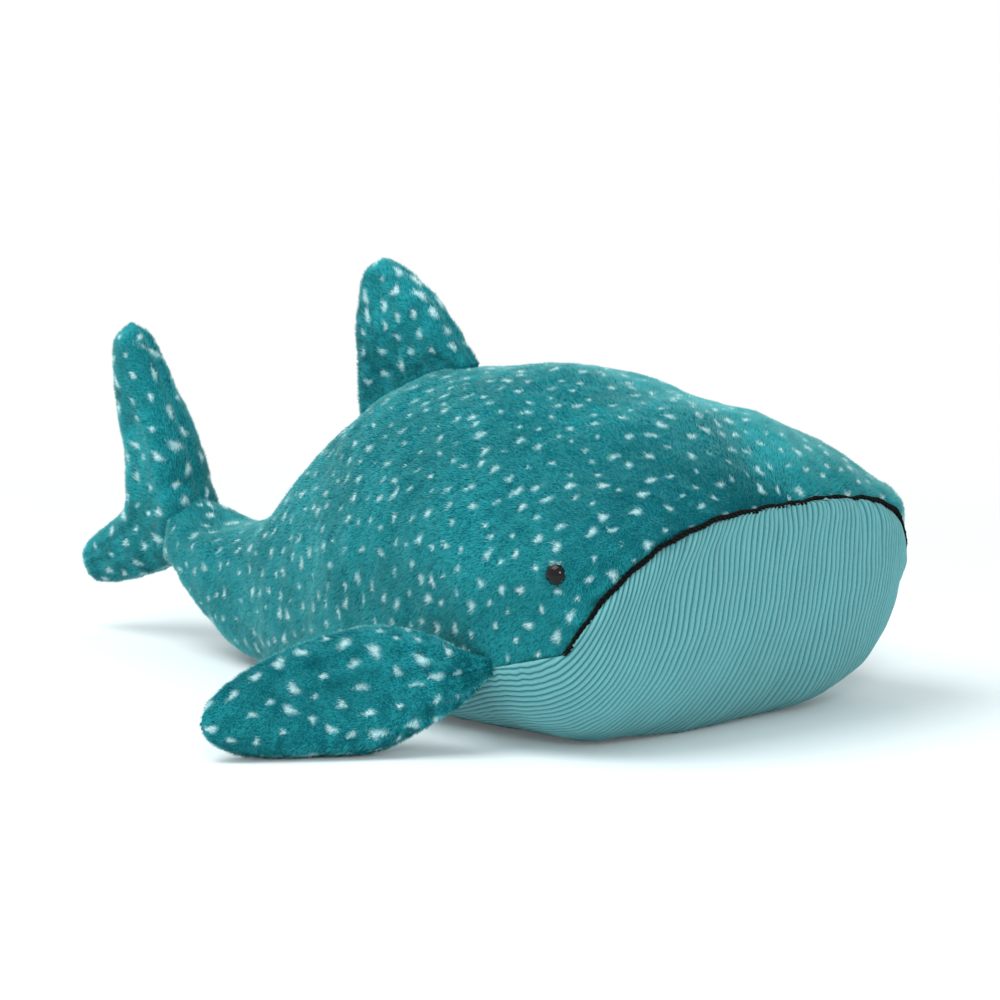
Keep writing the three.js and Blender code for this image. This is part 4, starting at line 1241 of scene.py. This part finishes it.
def fin_skin(sheet, rows, columns, ends, sunk, creases, seed):
    """A stuffed fin as one closed skin. Across each row its two faces leave the edge seams in a quarter
    circle as round as the fin is thick, and run level between. The seams are drawn in between the faces.
    Creases run out from the root and fade along the fin. ends tells which of its two ends is a tip, and
    sunk how far the root goes into the body."""
    depth = sizes().seam_depth / METRES
    share = np.linspace(0, 1, rows)
    extra = 4 if sunk is not None else 0
    u = np.concatenate([np.zeros(extra), share])
    grid = np.meshgrid(u, np.linspace(0, 1, 241), indexing="ij")
    point, out, half = sheet(*grid)
    if extra:
        down = np.concatenate([np.linspace(1, 0, extra, endpoint=False), np.zeros(rows)])
        point = point + down[:, None, None] * np.array(sunk)
    front = run_along(point)
    wide = front[:, -1:]
    near = np.minimum(front, wide - front)
    # the edge seams: how far the faces have left them, and how far they are drawn in
    bend = np.clip(near / np.maximum(np.minimum(np.minimum(half, 12) * FIN_ROUND, wide / 2), 0.1), 0, 1)
    rise = half * np.sqrt(1 - (1 - bend) ** 2)
    pull = 0.5 * (1 - bend) + depth * np.exp(-((rise / 2.4) ** 2))
    pull = np.minimum(pull, 0.3 * wide)
    across = unit(point[:, -1:] - point[:, :1])
    point = point + across * (pull * np.where(front < wide / 2, 1, -1))[..., None]
    tip = np.ones(len(u))
    for at_end, is_tip in zip((u, 1 - u), ends):
        if is_tip:
            tip *= np.sqrt(np.clip(1 - (1 - at_end / 0.035).clip(0, 1) ** 2, 0, 1))
    tip = np.maximum(tip, 0.02)[:, None]
    middle = point.mean(1, keepdims=True)
    point = middle + (point - middle) * tip[..., None]
    thick = np.maximum(rise - FIN_PILE_ROOM * np.sqrt(bend), 0)
    # the two faces, one after the other round the fin
    loops, sides = [], []
    for side in (1, -1):
        place = np.stack([grid[0] * 30, grid[1] * 160, np.full(grid[0].shape, side * 50.0)], -1)
        ripples = ripple(place, 26, seed) * np.exp(-grid[0] / 0.3) * creases
        lumps = 0.45 * ripple(point, 34, seed + 1) + 0.2 * ripple(point, 13, seed + 2)
        swell = np.minimum(thick / 8, 1)
        face = point + out * (side * np.maximum(thick + (ripples + lumps) * swell, 0) * tip)[..., None]
        face = face if side > 0 else face[:, ::-1]
        even = np.linspace(0, 1, columns // 2, endpoint=False)
        loops.append(np.array([
            np.stack([np.interp(even * run[-1], run, line[:, k]) for k in range(3)], -1)
            for run, line in zip(run_along(face), face)
        ]))
        sides.append(side * np.ones((len(u), columns // 2)))
    points = np.concatenate(loops, 1)
    points[..., 2] = np.maximum(points[..., 2], 0.4)
    normals = unit(np.cross(np.gradient(points, axis=0), wrapped_gradient(points)))
    if (normals * out[:, :1] * np.concatenate(sides, 1)[..., None]).sum() < 0:
        normals = -normals
    lay = unit(np.gradient(points, axis=0))
    if ends[0]:
        lay = 0.5 * lay * np.tanh((u - 0.42) / 0.08)[:, None, None] + across
    whole = np.ones(points.shape[:2])
    ruffled = whole * np.exp(-u / 0.3)[:, None] * (creases > 1)
    weight = whole * (ends[0] | (u > 0.12))[:, None]
    keep = whole.copy()
    keep[: max(extra - 1, 0)] = 0
    return {"points": points, "normals": normals, "lay": lay, "ruffled": ruffled, "weight": weight,
            "keep": keep}


def wrapped_gradient(points):
    """The change from column to column of a grid whose last column meets its first."""
    return (np.roll(points, -1, 1) - np.roll(points, 1, 1)) / 2


def make_fin(name, sheet, shape, nodes, radius, seed):
    """A fin's skin with its pile, each with its transform applied to its points."""
    size = sizes()
    skin = fin_skin(sheet, seed=size.seed + 31 * seed, **shape)
    points, normals = skin["points"], skin["normals"]
    spots = Spots(points, normals, skin["lay"], grid_area(points) * skin["weight"],
                  size.spot_spacing / METRES * 1.1, radius, 1.1, size.seed + seed)
    faces = faces_outwards(points, grid_faces(*points.shape[:2], wrap=True), normals)
    made = new_mesh(f"{name}_skin", points, faces, {"spot": spots.paleness(points)})
    made.data.materials.append(plush_backing())
    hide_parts(*nodes)

    def bind(piece):
        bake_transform(piece)

    bind(made)
    closed = {key: np.concatenate([value, value[:, :1]], 1) for key, value in skin.items()}
    pile_on(f"{name}_pile", closed, spots, plush_pile(), 40 + seed, bind)


def make_fins():
    """The dorsal fin, the tail fin and the two pectoral fins."""
    make_fin("dorsal_fin", dorsal_sheet(),
             {"rows": 90, "columns": 110, "ends": (False, True), "sunk": (0, 0, -5), "creases": 0.3},
             ("dorsal_face_left", "dorsal_face_right", "dorsal_filling"), radius=2.4,
             seed=1)
    make_fin("tail_fin", tail_sheet(),
             {"rows": 160, "columns": 110, "ends": (True, True), "sunk": None, "creases": 0.4},
             ("tail_fin_face_left", "tail_fin_face_right", "tail_fin_filling"), radius=2.3,
             seed=2)
    for side, name in ((-1, "right"), (1, "left")):
        x, height = PECTORAL_ROOT["x"], PECTORAL_ROOT["height"]
        root = side_at(x, height) + HINGE_GAP
        make_fin(f"pectoral_fin_{name}", pectoral_sheet(side),
                 {"rows": 120, "columns": 110, "ends": (False, True), "sunk": (0, -4.0 * side, 0),
                  "creases": 2.0},
                 [f"pectoral_{name}_{part}" for part in ("outer_face", "inner_face", "filling")],
                 radius=2.2,
                 seed=4 + side)


# Stage


def make_stage():
    """A pale floor that turns white away from the toy, the photograph's camera, a large soft lamp above,
    one beside, a small one in front and even light from all round."""
    scene = bpy.context.scene
    half = 30.0
    corners = np.array([(-half, -half, 0), (half, -half, 0), (half, half, 0), (-half, half, 0)])
    floor = new_mesh("floor", corners / METRES, np.array([(0, 1, 2, 3)]))
    material, tree = start_material("painted_paper_pale")
    shader = add_node(tree, "ShaderNodeBsdfDiffuse", {"Color": rgba(colours().floor)})
    glow = add_node(tree, "ShaderNodeEmission", {"Color": (1, 1, 1, 1), "Strength": 1.0})
    place = add_node(tree, "ShaderNodeTexCoord").outputs["Object"]
    far = add_node(tree, "ShaderNodeVectorMath", {0: place}, operation="LENGTH").outputs["Value"]
    white = add_node(tree, "ShaderNodeMapRange", {"Value": far, "From Min": 0.3, "From Max": 1.0,
                     "To Min": 0.08, "To Max": 1.0}, interpolation_type="SMOOTHSTEP")
    seen = add_node(tree, "ShaderNodeLightPath").outputs["Is Camera Ray"]
    share = add_node(tree, "ShaderNodeMath", {0: seen, 1: white.outputs[0]}, operation="MULTIPLY")
    pick = add_node(tree, "ShaderNodeMixShader", {0: share.outputs[0], 1: shader.outputs[0],
                    2: glow.outputs[0]})
    add_node(tree, "ShaderNodeOutputMaterial", {"Surface": pick.outputs[0]})
    floor.data.materials.append(material)

    world = bpy.data.worlds.new("studio")
    scene.world = world
    world.use_nodes = True
    tree = world.node_tree
    tree.nodes.clear()
    path = add_node(tree, "ShaderNodeLightPath")
    seen = add_node(tree, "ShaderNodeMath", {0: path.outputs["Is Camera Ray"],
                    1: path.outputs["Is Glossy Ray"]}, operation="MAXIMUM")
    seen = add_node(tree, "ShaderNodeMath", {0: seen.outputs[0], 1: path.outputs["Is Transmission Ray"]},
                    operation="MAXIMUM")
    even = add_node(tree, "ShaderNodeBackground", {"Color": rgba(linear("#f4fafb")), "Strength": 0.78})
    white = add_node(tree, "ShaderNodeBackground", {"Color": (1, 1, 1, 1), "Strength": 1.0})
    pick = add_node(tree, "ShaderNodeMixShader", {0: seen.outputs[0], 1: even.outputs[0],
                    2: white.outputs[0]})
    add_node(tree, "ShaderNodeOutputWorld", {"Surface": pick.outputs[0]})

    for name, place, energy, wide in LAMPS:
        data = bpy.data.lights.new(name, "AREA")
        data.energy, data.size = energy, wide
        lamp = bpy.data.objects.new(name, data)
        lamp.location = place
        lamp.rotation_euler = (Vector(LAMP_AIM) - lamp.location).to_track_quat("-Z", "Y").to_euler()
        scene.collection.objects.link(lamp)

    azimuth, elevation = math.radians(CAMERA["azimuth"]), math.radians(CAMERA["elevation"])
    back = Vector((math.sin(azimuth) * math.cos(elevation), -math.cos(azimuth) * math.cos(elevation),
                   math.sin(elevation)))
    data = bpy.data.cameras.new("camera")
    data.sensor_width = data.sensor_height = CAMERA["sensor"]
    data.sensor_fit = "HORIZONTAL"
    data.lens = CAMERA["lens"]
    camera = bpy.data.objects.new("camera", data)
    camera.location = Vector(CAMERA["target"]) + back * CAMERA["distance"]
    camera.rotation_euler = (-back).to_track_quat("-Z", "Y").to_euler()
    scene.collection.objects.link(camera)
    scene.camera = camera
    scene.view_settings.view_transform = "Standard"


class PLUSH_OT_back(bpy.types.Operator):
    """Make the plush skin and pile of the body's back and sides"""

    bl_idname = "plush.back"
    bl_label = "Plush back"

    def execute(self, context):
        make_back(-1, "right")
        make_back(1, "left")
        return {"FINISHED"}


class PLUSH_OT_belly(bpy.types.Operator):
    """Make the ribbed corduroy panel under the belly and over the front of the head"""

    bl_idname = "plush.belly"
    bl_label = "Corduroy belly"

    def execute(self, context):
        make_belly()
        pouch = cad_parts["pellet_pouch"]
        pouch.data.materials.clear()
        pouch.data.materials.append(pouch_cotton())
        return {"FINISHED"}


class PLUSH_OT_mouth(bpy.types.Operator):
    """Make the twisted cord along the mouth seam"""

    bl_idname = "plush.mouth"
    bl_label = "Mouth cord"

    def execute(self, context):
        make_mouth_cord()
        return {"FINISHED"}


class PLUSH_OT_eyes(bpy.types.Operator):
    """Make the two eyes and finish their lock washers"""

    bl_idname = "plush.eyes"
    bl_label = "Eyes"

    def execute(self, context):
        make_eye(-1, "right")
        make_eye(1, "left")
        return {"FINISHED"}


class PLUSH_OT_fins(bpy.types.Operator):
    """Make the dorsal fin, the tail fin and the two pectoral fins, with their pile"""

    bl_idname = "plush.fins"
    bl_label = "Fins"

    def execute(self, context):
        make_fins()
        return {"FINISHED"}


class PLUSH_OT_stage(bpy.types.Operator):
    """Make the floor, the lights and the camera"""

    bl_idname = "plush.stage"
    bl_label = "Stage"

    def execute(self, context):
        make_stage()
        return {"FINISHED"}


class PLUSH_PT_panel(bpy.types.Panel):
    """Lists the sizes, the colours and the steps in the sidebar"""

    bl_idname = "PLUSH_PT_panel"
    bl_label = "Plush Whale Shark"
    bl_space_type = "VIEW_3D"
    bl_region_type = "UI"
    bl_category = "Plush"

    def draw(self, context):
        layout = self.layout
        for settings in (context.scene.plush_sizes, context.scene.plush_colours):
            column = layout.column(align=True)
            for key in settings.__annotations__:
                column.prop(settings, key)
        for step in STEPS:
            layout.operator(step.bl_idname)


STEPS = (PLUSH_OT_back, PLUSH_OT_belly, PLUSH_OT_mouth, PLUSH_OT_eyes, PLUSH_OT_fins, PLUSH_OT_stage)
CLASSES = (PlushSizes, PlushColours, *STEPS, PLUSH_PT_panel)


def register():
    """Registers the classes and gives the scene its settings."""
    for cls in CLASSES:
        bpy.utils.register_class(cls)
    bpy.types.Scene.plush_sizes = PointerProperty(type=PlushSizes)
    bpy.types.Scene.plush_colours = PointerProperty(type=PlushColours)


def unregister():
    """Takes the settings and the classes away again."""
    del bpy.types.Scene.plush_colours
    del bpy.types.Scene.plush_sizes
    for cls in reversed(CLASSES):
        bpy.utils.unregister_class(cls)


def main():
    """Makes every piece in order."""
    register()
    bpy.ops.plush.back()
    bpy.ops.plush.belly()
    bpy.ops.plush.mouth()
    bpy.ops.plush.eyes()
    bpy.ops.plush.fins()
    bpy.ops.plush.stage()


if __name__ == "__main__":
    main()
